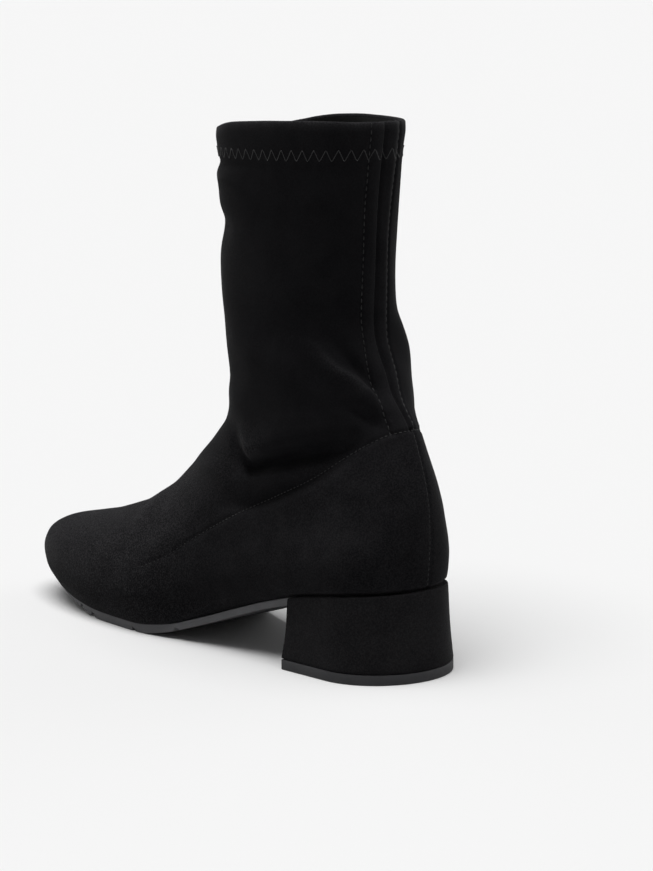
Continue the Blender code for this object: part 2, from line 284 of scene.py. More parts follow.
SECTION_ROWS = (
    (0.8, 38.5, 244.5, 15.6, 39.5, 39.5, 0.62, 2.2, 2.1, 1.00),
    (0.0, 43.5, 248.8, 19.4, 41.6, 41.0, 0.62, 2.2, 2.1, 0.98),
    (-0.8, 51.0, 249.5, 24.2, 42.2, 41.4, 0.60, 2.2, 2.0, 0.92),
    (-1.2, 58.5, 247.2, 29.9, 40.8, 39.8, 0.57, 2.2, 1.95, 0.83),
    (-1.0, 65.5, 237.0, 37.2, 38.0, 37.2, 0.54, 2.2, 1.9, 0.71),
    (-0.6, 72.0, 219.0, 43.3, 35.2, 34.4, 0.50, 2.2, 1.9, 0.57),
    (0.2, 78.0, 201.0, 47.7, 32.8, 31.8, 0.47, 2.15, 1.9, 0.42),
    (1.4, 84.0, 184.0, 52.5, 31.4, 29.8, 0.45, 2.05, 1.9, 0.30),
    (3.0, 90.0, 169.0, 56.9, 30.4, 28.4, 0.44, 1.92, 1.95, 0.20),
    (5.0, 96.0, 156.0, 63.5, 29.8, 27.4, 0.43, 1.82, 2.0, 0.12),
    (7.4, 102.0, 143.5, 72.0, 29.4, 27.0, 0.43, 1.76, 2.1, 0.06),
    (10.2, 107.0, 131.5, 81.5, 29.2, 27.2, 0.44, 1.75, 2.15, 0.02),
    (13.5, 111.0, 121.0, 91.0, 29.2, 28.2, 0.45, 1.8, 2.2, 0.0),
    (17.0, 115.5, 113.6, 99.5, 29.4, 29.6, 0.46, 1.9, 2.2, 0.0),
    (20.6, 120.5, 111.4, 108.5, 29.8, 31.2, 0.47, 2.0, 2.2, 0.0),
    (24.0, 127.0, 111.8, 118.0, 30.0, 32.2, 0.48, 2.1, 2.2, 0.0),
    (27.2, 134.0, 112.8, 129.0, 29.8, 31.8, 0.49, 2.2, 2.2, 0.0),
    (29.6, 142.5, 114.2, 141.0, 29.2, 30.2, 0.50, 2.2, 2.2, 0.0),
    (30.4, 152.0, 115.2, 152.0, 28.8, 29.2, 0.50, 2.2, 2.2, 0.0),
    (30.0, 168.0, 115.8, 168.0, 28.8, 29.2, 0.50, 2.2, 2.2, 0.0),
    (29.0, 187.0, 116.6, 186.0, 29.0, 29.4, 0.50, 2.2, 2.2, 0.0),
    (27.2, 209.0, 117.4, 206.0, 29.4, 29.6, 0.50, 2.2, 2.2, 0.0),
    (25.0, 230.0, 118.0, 225.5, 29.8, 30.0, 0.50, 2.2, 2.2, 0.0),
)
LAST_ROW = len(SECTION_ROWS) - 1
print(len(SECTION_ROWS), "sections from the feather line to the collar")

# %% [markdown]
# A table has only a few rows, so a smooth curve has to run between them. This curve is the monotone
# cubic that drawing offices use for ship lines and lasts: it passes through every row and never
# swings past one. The sole's outline and each ring are then products of round ends and side curves.

# %% curves and rings


def curve_through(knots, values, at):
    """A smooth curve through a table's points that never overshoots them."""
    knots = np.asarray(knots, float)
    values = np.asarray(values, float)
    widths = np.diff(knots)
    steps = np.diff(values) / widths
    slopes = np.zeros(len(knots))
    same_way = steps[:-1] * steps[1:] > 0
    near = 2 * widths[1:] + widths[:-1]
    far = widths[1:] + 2 * widths[:-1]
    safe = np.where(same_way, steps[:-1] * steps[1:], 1.0)
    mean = (near + far) * safe / (near * steps[1:] + far * steps[:-1] + (~same_way))
    slopes[1:-1] = np.where(same_way, mean, 0.0)
    slopes[0] = steps[0]
    slopes[-1] = steps[-1]
    at = np.clip(np.asarray(at, float), knots[0], knots[-1])
    index = np.clip(np.searchsorted(knots, at, side="right") - 1, 0, len(widths) - 1)
    width = widths[index]
    share = (at - knots[index]) / width
    rise = share * share * (3 - 2 * share)
    start = share * (1 - share) ** 2
    end = share * share * (share - 1)
    level = values[index] * (1 - rise) + values[index + 1] * rise
    return level + width * (start * slopes[index] + end * slopes[index + 1])


def line_height(rows, reach):
    """The height of the feather or tread line at a reach."""
    return curve_through([row[1] * MM for row in rows], [row[2] * MM for row in rows], reach)


def feather_line(reach):
    """The height of the line where the upper meets the sole."""
    return line_height(FEATHER_ROWS, reach)


def round_end(share, power):
    """A round end: one at share 0, falling to nothing at share 1."""
    return np.maximum(1 - np.clip(share, 0, 1) ** power, 0) ** (1 / power)


def smooth_step(low, high, value):
    """Rises softly from nothing at low to one at high."""
    share = np.clip((value - low) / (high - low), 0, 1)
    return share * share * (3 - 2 * share)


def sole_body(share, side_column):
    """The sole's half width without its round ends, as a share of the half ball width."""
    shares = [row[1] for row in OUTLINE_ROWS]
    return curve_through(shares, [row[side_column] for row in OUTLINE_ROWS], share)


def sole_bodies(share):
    """The half widths of the sole's lateral and medial sides, without its round ends."""
    return sole_body(share, OUTLINE_LATERAL), sole_body(share, OUTLINE_MEDIAL)


def sole_ends(share):
    """How far the round heel and the round toe draw the sole's outline in."""
    heel = round_end(1 - share / HEEL_CAP_SHARE, 2)
    toe = round_end((share - TOE_CAP_START) / (1 - TOE_CAP_START), TOE_CAP_POWER)
    return heel * toe


def section_shape(share, widest, back_power, front_power):
    """The half width of a ring that is round at both ends, one at its widest."""
    behind = round_end(1 - share / widest, back_power)
    ahead = round_end((share - widest) / (1 - widest), front_power)
    return behind * ahead


def middle_shift(share):
    """How far the boot's middle line bends to the medial side towards the toe."""
    return TOE_SHIFT * smooth_step(TOE_SHIFT_START, 1, share)


def section_knots():
    """The section table in metres, with the way along it from row to row."""
    table = np.array(SECTION_ROWS) * SECTION_UNITS
    steps = np.sqrt((np.diff(table[:, :4], axis=0) ** 2).sum(axis=1) / 2)
    return table, np.concatenate([[0], np.cumsum(steps)])


def sections_at(way):
    """The section table, read at distances along its rows."""
    table, knots = section_knots()
    columns = [curve_through(knots, column, way) for column in table.T]
    return [dict(zip(SECTION_COLUMNS, ring)) for ring in zip(*columns)]


def upper_ring(section, angle):
    """Points of one ring of the upper, at angles from the heel back round the lateral side."""
    share = (1 - np.cos(angle)) / 2
    reach = section["back_reach"] + (section["front_reach"] - section["back_reach"]) * share
    chord = section["back_height"] + (section["front_height"] - section["back_height"]) * share
    heel_height = FEATHER_ROWS[0][2] * MM
    toe_height = FEATHER_ROWS[-1][2] * MM
    dip = feather_line(reach) - heel_height - (toe_height - heel_height) * share
    height = chord + section["sole_share"] * dip
    ring = section_shape(share, section["widest"], section["back_power"], section["front_power"])
    lateral = np.sin(angle) >= 0
    sole = np.where(lateral, *sole_bodies(share)) * sole_ends(share)
    shape = ring + section["sole_share"] * (sole - ring)
    width = np.where(lateral, section["lateral"], section["medial"])
    side = np.where(lateral, 1, -1) * width * shape + section["sole_share"] * middle_shift(share)
    return np.stack([side, reach, height], axis=1)


print("a ring is placed by", len(SECTION_COLUMNS), "values")

# %% [markdown]
# The skin is a grid: rings from the feather line up to the collar, and steps round each ring. Even
# steps along the leg give cloth-sized squares of about a millimetre. A place on it is named by its
# row in the section table and its angle, which is 0 at the heel back, positive round the outer side
# and 180 at the front. Each grid point also gets a normal, the way in which a fold lifts it.

# %% the plain skin
RINGS = 226
AROUND = 360
RIM_RADIUS = 1.3 * MM
FOOT_DEPTH = 3.0 * MM
FOOT_RINGS = 7
FINE_STEPS = 40
TINY = 1e-12

way_total = section_knots()[1][-1]
foot_way = np.linspace(0, FOOT_DEPTH, FOOT_RINGS, endpoint=False)
leg_way = np.linspace(FOOT_DEPTH, way_total - RIM_RADIUS, RINGS - FOOT_RINGS)
ring_way = np.concatenate([foot_way, leg_way])
fine_rows = np.linspace(0, LAST_ROW, FINE_STEPS * LAST_ROW)
fine_way = curve_through(np.arange(LAST_ROW + 1), section_knots()[1], fine_rows)
ring_row = np.interp(ring_way, fine_way, fine_rows)
ring_angle = np.linspace(0, 2 * np.pi, AROUND, endpoint=False)
plain_skin = np.array([upper_ring(section, ring_angle) for section in sections_at(ring_way)])


def unit(vectors):
    """The same vectors with a length of one."""
    return vectors / np.maximum(np.linalg.norm(vectors, axis=-1, keepdims=True), TINY)


def skin_frames(grid):
    """Unit vectors up the leg and out of the skin, at each grid point."""
    around = np.roll(grid, -1, axis=1) - np.roll(grid, 1, axis=1)
    upwards = np.gradient(grid, axis=0)
    return unit(upwards), unit(np.cross(around, upwards))



def read_grid(grid, rows, degrees):
    """A grid of points or vectors, read between its points at rows and angles."""
    ring = np.interp(rows, ring_row, np.arange(RINGS))
    step = np.asarray(degrees, float) % 360 * AROUND / 360
    low = np.minimum(ring.astype(int), RINGS - 2)
    left = step.astype(int) % AROUND
    up = (ring - low)[..., None]
    on = (step - step.astype(int))[..., None]
    right = (left + 1) % AROUND
    lower = grid[low, left] * (1 - on) + grid[low, right] * on
    higher = grid[low + 1, left] * (1 - on) + grid[low + 1, right] * on
    return lower * (1 - up) + higher * up


plain_out = skin_frames(plain_skin)[1]
print("skin grid", plain_skin.shape[:2], f"{way_total / MM:.0f} mm along the leg")

# %% [markdown]
# The shaft is slack, so it has sunk onto the foot and folded at the ankle. A cloth simulation would
# fold it somewhere else each time, so the main creases are listed one by one: each is a path over the
# skin with a height at each knot, a ridge where it is positive and a trough where it is negative,
# and a soft slope above and below the path. The deep one runs from the front of the ankle to a pit
# and back above the heel quarter. Those of the inner side are alike but calmer. Each height is blended
# with its neighbours, so that no step shows where a path bends sharply.

# %% the folds
LATERAL_FOLDS = (
    ("ankle_crease",
     ((13.0, 142), (12.1, 118), (10.95, 106.5), (10.1, 98.5), (9.6, 92.5), (9.5, 86.5), (9.6, 78),
      (9.75, 68), (9.8, 59), (9.95, 50), (10.15, 42), (10.4, 32)),
     (-0.2, -0.7, -1.6, -3.2, -5.2, -6.2, -5.4, -4.6, -4.0, -3.2, -1.8, -0.2), 4.6, 3.3),
    ("shaft_lip",
     ((13.5, 130), (12.6, 114), (11.6, 104.5), (11.0, 99.5), (10.7, 95), (10.65, 87), (10.85, 78),
      (11.0, 68), (11.15, 56), (11.3, 46)),
     (0.0, 0.2, 0.6, 1.3, 2.0, 2.3, 2.1, 1.9, 1.3, 0.2), 8.0, 4.0),
    ("roll_below_crease",
     ((9.1, 93), (8.95, 84), (8.85, 78), (8.7, 65), (8.9, 56)),
     (0.2, 1.2, 1.4, 1.0, 0.2), 2.6, 4.0),
    ("second_trough",
     ((6.9, 93), (6.75, 86), (6.7, 80.5), (6.85, 75.5), (7.3, 69), (7.85, 62.5), (8.6, 52), (9.3, 43),
      (9.9, 34)),
     (-0.2, -1.8, -3.0, -3.4, -3.4, -3.1, -2.4, -1.4, -0.2), 6.0, 3.0),
    ("shaft_slant",
     ((16.9, 60), (16.55, 49), (16.05, 42), (15.5, 36), (14.7, 26), (13.7, 21), (12.3, 18.5)),
     (0.2, 1.0, 2.2, 3.2, 3.4, 2.6, 0.6), 1.7, 6.0),
    ("slant_hollow_above",
     ((17.1, 41), (16.45, 31.5), (15.8, 26), (15.1, 21.5), (14.4, 17.5)),
     (-0.3, -1.5, -2.2, -2.2, -0.7), 4.0, 2.2),
    ("slant_hollow_below",
     ((13.4, 44), (12.9, 38), (12.4, 33), (11.6, 28), (11.0, 24)),
     (-0.3, -1.1, -1.7, -1.7, -0.6), 3.5, 3.0),
    ("crease_shade",
     ((10.2, 78), (10.35, 68), (10.45, 58), (10.5, 48), (10.6, 38)),
     (-0.1, -0.3, -0.4, -0.3, -0.1), 5.0, 4.5),
    ("shaft_wave_high",
     ((19.1, 118), (18.7, 92), (18.5, 64), (18.6, 38)),
     (0.2, 0.55, 0.5, 0.1), 8.0, 8.0),
    ("shaft_wave_low",
     ((17.7, 122), (17.2, 98), (17.1, 72), (17.5, 46)),
     (-0.2, -0.6, -0.5, -0.1), 7.0, 8.0),
    ("shaft_wave_front",
     ((16.4, 114), (15.9, 94), (15.6, 74), (15.2, 58)),
     (0.2, 0.6, 0.5, 0.1), 6.0, 7.0),
    ("instep_roll",
     ((10.7, 152), (10.6, 136), (10.15, 118.5), (9.4, 105), (8.7, 97)),
     (0.2, 0.9, 1.5, 0.7, 0.1), 6.0, 4.5),
    ("vamp_roll",
     ((8.5, 172), (8.3, 160), (7.4, 138), (6.5, 126), (5.8, 117)),
     (0.1, 0.8, 1.2, 0.7, 0.1), 8.0, 9.0),
    ("front_hollow",
     ((15.3, 176), (15.1, 150), (14.9, 126), (14.8, 102)),
     (-0.9, -1.6, -1.6, -0.3), 11.0, 6.0),
    ("collar_dent",
     ((20.0, 170), (19.9, 142), (19.85, 112)),
     (-1.2, -2.6, -0.3), 6.0, 9.0),
    ("zigzag_pinch",
     ((21.25, 175), (21.2, 130), (21.25, 85)),
     (-0.8, -1.4, -0.3), 3.0, 3.0),
    ("collar_puff",
     ((20.95, 142), (20.9, 120), (20.65, 95), (20.5, 74)),
     (0.6, 1.3, 1.0, 0.2), 5.0, 5.0),
    ("counter_edge",
     ((7.1, 61), (6.1, 64), (4.5, 59), (2.6, 55.5), (0.2, 55)),
     (0.3, 1.0, 1.0, 0.9, 0.7), 24.0, 5.0),
    ("waist_hollow",
     ((1.0, 62), (1.1, 71), (1.2, 79), (1.4, 87), (1.6, 97)),
     (-0.2, -1.8, -2.6, -1.8, -0.1), 9.0, 5.0),
)
MEDIAL_FOLDS = (
    ("ankle_crease_inner",
     ((13.7, -172), (13.0, -138), (11.9, -118), (10.7, -104), (10.1, -92), (10.2, -74), (10.5, -52),
      (10.7, -30)),
     (-0.8, -1.6, -2.6, -3.8, -4.6, -3.4, -2.2, -0.4), 3.0, 4.5),
    ("shaft_lip_inner",
     ((14.0, -150), (13.0, -122), (12.1, -106), (11.6, -90), (11.8, -70), (12.2, -48)),
     (0.4, 1.4, 2.2, 2.4, 1.8, 0.4), 7.5, 3.2),
    ("shaft_bulge_inner",
     ((17.8, -42), (16.7, -39), (15.6, -38), (14.4, -36), (13.2, -33)),
     (0.2, 2.3, 2.4, 1.2, 0.1), 10.0, 10.0),
    ("shaft_slant_inner",
     ((18.0, -118), (17.2, -96), (16.0, -78), (14.6, -66)),
     (0.2, 1.5, 1.6, 0.2), 3.4, 7.0),
    ("second_trough_inner",
     ((7.9, -98), (7.8, -84), (8.1, -71), (8.9, -56), (9.7, -42)),
     (-0.2, -1.4, -1.8, -1.3, -0.2), 3.2, 3.2),
    ("instep_roll_inner",
     ((9.9, -160), (9.5, -138), (9.0, -118), (8.4, -102)),
     (0.4, 1.3, 1.2, 0.1), 3.8, 4.5),
    ("vamp_roll_inner",
     ((7.7, -164), (7.0, -146), (6.4, -128)),
     (0.3, 1.2, 0.1), 3.8, 3.8),
    ("collar_hollow_inner",
     ((20.0, -150), (19.8, -112), (19.9, -70)),
     (-0.3, -1.0, -0.2), 7.0, 8.0),
    ("counter_edge_inner",
     ((7.1, -61), (6.1, -64), (4.5, -59), (2.6, -55.5), (0.2, -55)),
     (0.3, 1.0, 1.0, 0.9, 0.7), 24.0, 5.0),
    ("waist_hollow_inner",
     ((1.0, -62), (1.1, -71), (1.2, -79), (1.4, -87), (1.6, -97)),
     (-0.2, -1.2, -1.6, -1.2, -0.1), 8.0, 5.0),
)
PATH_STEPS = 36
BLEND_STEPS = 5


def path_over_skin(knots, steps=PATH_STEPS):
    """Rows, angles and even shares of a smooth path through knots of row and angle."""
    knots = np.array(knots, float)
    corner = np.linspace(0, 1, len(knots))
    share = np.linspace(0, 1, steps)
    return curve_through(corner, knots[:, 0], share), curve_through(corner, knots[:, 1], share), share


def beside_path(knots, lateral_side):
    """For each grid point: its distance from a path, signed above it, and the share along it."""
    rows, degrees, share = path_over_skin(knots)
    points = read_grid(plain_skin, rows, degrees)
    outwards = read_grid(plain_out, rows, degrees)
    grid = plain_skin.reshape(-1, 3)
    nearest = np.full(len(grid), np.inf)
    along = np.zeros(len(grid))
    sign = np.ones(len(grid))
    for index in range(len(points) - 1):
        start = points[index]
        leg = points[index + 1] - start
        gap = grid - start
        step = np.clip(gap @ leg / max(leg @ leg, TINY), 0, 1)
        gap = gap - step[:, None] * leg
        distance = np.einsum("ij,ij->i", gap, gap)
        above = np.cross(leg, outwards[index]) * lateral_side
        closer = distance < nearest
        nearest[closer] = distance[closer]
        along[closer] = (share[index] + step * (share[index + 1] - share[index]))[closer]
        sign[closer] = np.where(gap @ above >= 0, 1.0, -1.0)[closer]
    shape = plain_skin.shape[:2]
    return (np.sqrt(nearest) * sign).reshape(shape), along.reshape(shape)


def soft_bank(distance, above, below):
    """A soft ridge across a path: one on it, falling away at its own rate on each side."""
    width = np.where(distance >= 0, above, below)
    return np.exp(-((distance / width) ** 2))


def blend_matrix(count, closed):
    """Weights that blend each step of a row or ring with its neighbours."""
    gap = np.abs(np.arange(count)[:, None] - np.arange(count))
    if closed:
        gap = np.minimum(gap, count - gap)
    weight = np.exp(-((gap / BLEND_STEPS) ** 2))
    return weight / weight.sum(axis=1, keepdims=True)


BLEND_UP = blend_matrix(RINGS, False)
BLEND_ROUND = blend_matrix(AROUND, True)


def fold_lift(folds, lateral_side):
    """How far a list of folds moves each grid point out of the skin."""
    lift = np.zeros(plain_skin.shape[:2])
    for _, path, heights, above, below in folds:
        distance, along = beside_path(path, lateral_side)
        height = curve_through(np.linspace(0, 1, len(heights)), heights, along) * MM
        height = BLEND_UP @ height @ BLEND_ROUND.T
        lift += height * soft_bank(distance, above * MM, below * MM)
    return lift


skin_lift = fold_lift(LATERAL_FOLDS, 1) + fold_lift(MEDIAL_FOLDS, -1)
print(f"folds move the skin {skin_lift.min() / MM:.1f} to {skin_lift.max() / MM:.1f} mm")

# %% [markdown]
# The boot is sewn from a shaft with the vamp in one piece and a heel quarter below it. A strip down
# the back has a middle seam between two topstitched rows, and the cloth puffs up between them. A
# seam pulls the cloth in, so each is a narrow trough, and the puffs are low ridges beside it.

# %% the seams
LATERAL_ROW = ((21.94, 11.8), (21.2, 12), (20.3, 13), (19, 12.5), (17.8, 12.5), (17, 12), (15.4, 14),
               (14.4, 16), (13.1, 17.5), (11.8, 20), (10.5, 20.5))
MEDIAL_ROW = ((21.94, -15), (21, -14), (20.2, -12.5), (19, -11.5), (17.7, -10), (16.4, -8.5),
              (14.2, -7), (12.3, -5.5), (10.6, -4))
MIDDLE_SEAM = ((21.94, 0.6), (20, 0.8), (17, 1.0), (15.3, 1.0), (13.7, 2.0), (11.7, 2.8), (10.6, 3.5))
LATERAL_PUFF = ((21.94, 6.2), (20.3, 6.9), (19, 6.7), (17, 6.5), (15.4, 7.5), (13.1, 9.7), (10.7, 12))
MEDIAL_PUFF = ((21.94, -7), (20.2, -6), (17.7, -4.6), (16.4, -3.8), (14.2, -2.6), (12.3, -1.2), (10.8, 0))
QUARTER_SEAM = ((10.55, 0), (10.5, 11.5), (10.45, 20.5), (10.1, 31.5), (9.35, 46), (8.1, 60), (7.3, 69),
                (6.3, 79.5), (5.3, 87.5), (4.55, 92.5), (4.05, 95.5), (3.6, 100.5), (3.2, 104.5))
SEWN_KNOTS = 9
QUARTER_BACK = ((10.45, -2.0), (9, -1.4), (7, -1.6), (4.85, -1.6), (2.5, -1.4), (0.05, -1.7))
HEM_ROW = 21.43


def other_side(path):
    """The same path on the inner side of the boot."""
    return tuple((row, -degrees) for row, degrees in path)


QUARTER_DEPTHS = (*[-0.5] * SEWN_KNOTS, -0.45, -0.4, -0.25, 0.0)
SEAMS = (
    ("middle_seam", MIDDLE_SEAM, (-1.4, -1.4), 0.8, 0.8),
    ("lateral_row", LATERAL_ROW, (-0.8, -0.8), 0.9, 0.9),
    ("medial_row", MEDIAL_ROW, (-0.8, -0.8), 0.9, 0.9),
    ("lateral_puff", LATERAL_PUFF, (0.95, 0.95), 2.6, 2.6),
    ("medial_puff", MEDIAL_PUFF, (0.95, 0.95), 2.4, 2.4),
    ("quarter_seam", QUARTER_SEAM, QUARTER_DEPTHS, 0.9, 0.9),
    ("quarter_seam_inner", other_side(QUARTER_SEAM), QUARTER_DEPTHS, 0.9, 0.9),
    ("quarter_back", QUARTER_BACK, (-0.7, -0.7), 0.65, 0.65),
)
HEM_STEP = 0.1 * MM
HEM_FADE = 1.6 * MM
HEM_DEPTH = 14.5 * MM
HEM_PUFF = 0.5 * MM
HEM_MIDDLE = 4.5 * MM
HEM_PUFF_REACH = 3.5 * MM
TUCK = 1.3 * MM
TUCK_HEIGHT = 2.6 * MM
TUCK_TOE_SHARE = 0.1
TUCK_FROM = 62 * MM
TUCK_TO = 54 * MM

seam_lift = fold_lift(SEAMS, 1)
below_rim = (way_total - ring_way)[:, None]
seam_lift += HEM_STEP * smooth_step(HEM_DEPTH + HEM_FADE, HEM_DEPTH - HEM_FADE, below_rim)
seam_lift += HEM_PUFF * soft_bank(below_rim - HEM_MIDDLE, HEM_PUFF_REACH, HEM_PUFF_REACH)
tuck_share = TUCK_TOE_SHARE + (1 - TUCK_TOE_SHARE) * smooth_step(TUCK_FROM, TUCK_TO, plain_skin[..., 1])
seam_lift -= TUCK * tuck_share * (1 - smooth_step(0, TUCK_HEIGHT, ring_way[:, None]))
print(f"seams move the skin {seam_lift.min() / MM:.2f} to {seam_lift.max() / MM:.2f} mm")

# %% [markdown]
# Even where no crease runs, hand-drawn cloth is never a perfect tube. A few slow waves with fixed
# phases give the shaft a hint of slackness, and the collar's edge rises and falls round the leg: up on
# the outer side, down at the front, up again inside. At the bottom the cloth's edge laps a little over
# the sole. With that, the skin is done, and stitches can be laid on it.

# %% the finished skin
SLACK = 0.35 * MM
SLACK_WAVES = ((3, 0.9, 0.6), (5, -1.7, 2.1))
SLACK_FROM = 11
SLACK_FULL = 15
SLACK_FADE = 21.0
SLACK_END = 21.8
RIM_DIP = 0.6
COLLAR_RISE = (
    (0, 1.8), (20, 1.9), (40, 2.6), (60, 3.1), (80, 3.1), (100, 2.7), (110, 2.4), (120, 1.8), (130, 0.7),
    (140, -0.3), (180, -1.0), (200, -1.0), (215, -1.0), (230, 0.3), (240, 1.5), (255, 2.5), (270, 2.7),
    (285, 2.3), (300, 1.9), (315, 1.6), (330, 1.5), (345, 1.6), (360, 1.8),
)
EDGE_DROP = ((0, 0.0), (54, 0.0), (66, 0.3), (120, 0.3), (140, 0.7), (200, 0.9), (250, 0.9))
EDGE_REACH = 3.5 * MM

angle_grid = ring_angle[None, :]
row_grid = ring_row[:, None]
on_shaft = smooth_step(SLACK_FROM, SLACK_FULL, row_grid)
on_shaft = on_shaft * (1 - smooth_step(SLACK_FADE, SLACK_END, row_grid))
waves = sum(np.sin(count * angle_grid + twist * row_grid + phase) for count, twist, phase in SLACK_WAVES)
skin_lift = skin_lift + SLACK * on_shaft * waves
skin = plain_skin + (skin_lift + seam_lift)[..., None] * plain_out
collar_rise = curve_through(*zip(*COLLAR_RISE), np.degrees(angle_grid)) * MM
collar_rise = collar_rise + RIM_DIP * np.minimum(seam_lift, 0)
skin[..., 2] += collar_rise * smooth_step(HEM_ROW, LAST_ROW, row_grid)
edge_drop = curve_through(*zip(*EDGE_DROP), plain_skin[..., 1] / MM) * MM
skin[..., 2] -= edge_drop * (1 - smooth_step(0, EDGE_REACH, ring_way[:, None]))
skin_up, skin_out = skin_frames(skin)
print(f"skin from {skin[..., 2].min() / MM:.1f} to {skin[..., 2].max() / MM:.1f} mm high")

# %% [markdown]
# Imitation suede is a brushed cloth: a dense nap of tiny fibres over a dark ground. Three things make
# it read as suede. Patches lean different ways and look lighter or darker, single tufts catch the
# light as grain, and the fibres glow at grazing angles, which is what sheen is for. The patches and
# grain are one node group, because the heel cover and the lining use them too with other values.

# %% cloth, grain and rubber groups
MIX_FIRST = 6
MIX_SECOND = 7
MIX_RESULT = 2


def new_group(name, inputs):
    """A shader node group with named inputs that puts out a surface, and what it is given."""
    group = bpy.data.node_groups.new(name, "ShaderNodeTree")
    for direction, sockets in (("INPUT", inputs), ("OUTPUT", SURFACE_OUTPUTS)):
        for socket, kind in sockets:
            group.interface.new_socket(socket, in_out=direction, socket_type="NodeSocket" + kind)
    return group, group.nodes.new("NodeGroupInput").outputs


def put_out(group, colour, height, roughness):
    """Hands a group's results to its outputs."""
    results = {"Colour": colour, "Height": height, "Roughness": roughness}
    fill_inputs(group, group.nodes.new("NodeGroupOutput"), results)


def noise_node(tree, vector, scale, detail, roughness):
    """A noise texture at a scale."""
    settings = {"Vector": vector, "Scale": scale, "Detail": detail, "Roughness": roughness}
    return add_node(tree, "ShaderNodeTexNoise", settings)


def math_node(tree, operation, first, second):
    """A math node between two sockets or numbers."""
    return add_node(tree, "ShaderNodeMath", {0: first, 1: second}, operation=operation)


def range_node(tree, value, low, high, to_low, to_high):
    """Maps a value from one range to another, held inside it."""
    ranges = {"From Min": low, "From Max": high, "To Min": to_low, "To Max": to_high}
    return add_node(tree, "ShaderNodeMapRange", {"Value": value, **ranges}, "Result")


def colour_mix(tree, factor, first, second):
    """A colour between two colours, or past the second where the factor is over one."""
    colours = {"Factor": factor, MIX_FIRST: first, MIX_SECOND: second}
    return add_node(tree, "ShaderNodeMix", colours, MIX_RESULT, data_type="RGBA", clamp_factor=False)


SURFACE_OUTPUTS = (("Colour", "Color"), ("Height", "Float"), ("Roughness", "Float"))
NAP_INPUTS = (
    ("Place", "Vector"), ("Dark", "Color"), ("Light", "Color"), ("Patch Scale", "Float"),
    ("Tuft Scale", "Float"), ("Tuft Share", "Float"), ("Tone And Painted Light", "Float"), ("Grain", "Float"),
)
RUBBER_INPUTS = (("Place", "Vector"), ("Dark", "Color"), ("Light", "Color"), ("Grain Scale", "Float"))
PATCH_NOISE = (3.0, 0.55)
TUFT_NOISE = (2.0, 0.7)
FINE_NOISE = (1.0, 0.6)
BLOOM_NOISE = (3.0, 0.6)
PORE_NOISE = (2.0, 0.6)
PATCH_RANGE = (0.36, 0.64, -0.5, 0.5)
TUFT_RANGE = (0.40, 0.64, -0.5, 0.5)
CONTRAST_RANGE = (0.0, 2.0, 0.6, 1.6)
MIDDLE_RANGE = (-1.0, 4.0, 0.05, 1.45)
RELIEF_RANGE = (0.0, 3.0, 0.5, 1.1)
NAP_ROUGHNESS = (0.0, 1.0, 0.86, 1.0)
BLOOM_RANGE = (0.3, 0.7, 0.0, 1.0)
RUBBER_ROUGHNESS = (0.3, 0.7, 0.5, 0.68)
FINE_RATIO = 3.1
FINE_SHARE = 0.6
BLOOM_SCALE = 90.0

nap, given = new_group("brushed_nap", NAP_INPUTS)
patch = noise_node(nap, given["Place"], given["Patch Scale"], *PATCH_NOISE)
tuft = noise_node(nap, given["Place"], given["Tuft Scale"], *TUFT_NOISE)
fine_scale = math_node(nap, "MULTIPLY", given["Tuft Scale"], FINE_RATIO)
fine = noise_node(nap, given["Place"], fine_scale, *FINE_NOISE)
patch_share = math_node(nap, "SUBTRACT", 1.0, given["Tuft Share"])
tuft_share = math_node(nap, "MULTIPLY", given["Tuft Share"], given["Grain"])
patch_part = math_node(nap, "MULTIPLY", range_node(nap, patch, *PATCH_RANGE), patch_share)
tuft_part = math_node(nap, "MULTIPLY", range_node(nap, tuft, *TUFT_RANGE), tuft_share)
# The tone input sets the cloth's middle tone and contrast; on the upper it carries painted highlights
# and painted shade as well as the lighter foot.
contrast = range_node(nap, given["Tone And Painted Light"], *CONTRAST_RANGE)
middle = range_node(nap, given["Tone And Painted Light"], *MIDDLE_RANGE)
swing = math_node(nap, "MULTIPLY", math_node(nap, "ADD", patch_part, tuft_part), contrast)
tone = math_node(nap, "MAXIMUM", math_node(nap, "ADD", swing, middle), 0.0)
fibres = math_node(nap, "ADD", tuft, math_node(nap, "MULTIPLY", fine, FINE_SHARE))
relief = range_node(nap, given["Grain"], *RELIEF_RANGE)
put_out(
    nap,
    colour_mix(nap, tone, given["Dark"], given["Light"]),
    math_node(nap, "MULTIPLY", fibres, relief),
    range_node(nap, tone, *NAP_ROUGHNESS),
)

rubber, given = new_group("moulded_rubber", RUBBER_INPUTS)
bloom = noise_node(rubber, given["Place"], BLOOM_SCALE, *BLOOM_NOISE)
pores = noise_node(rubber, given["Place"], given["Grain Scale"], *PORE_NOISE)
tone = range_node(rubber, bloom, *BLOOM_RANGE)
put_out(
    rubber,
    colour_mix(rubber, tone, given["Dark"], given["Light"]),
    pores,
    range_node(rubber, pores, *RUBBER_ROUGHNESS),
)
print("node groups:", nap.name, rubber.name)

# %% [markdown]
# A finish is then a Principled shader with one of the groups placed in front of it. The values that
# are the same all over, such as sheen, are set on the shader itself, and only what changes from place
# to place comes through the group. A Bump node turns the grain's height into tiny slopes.

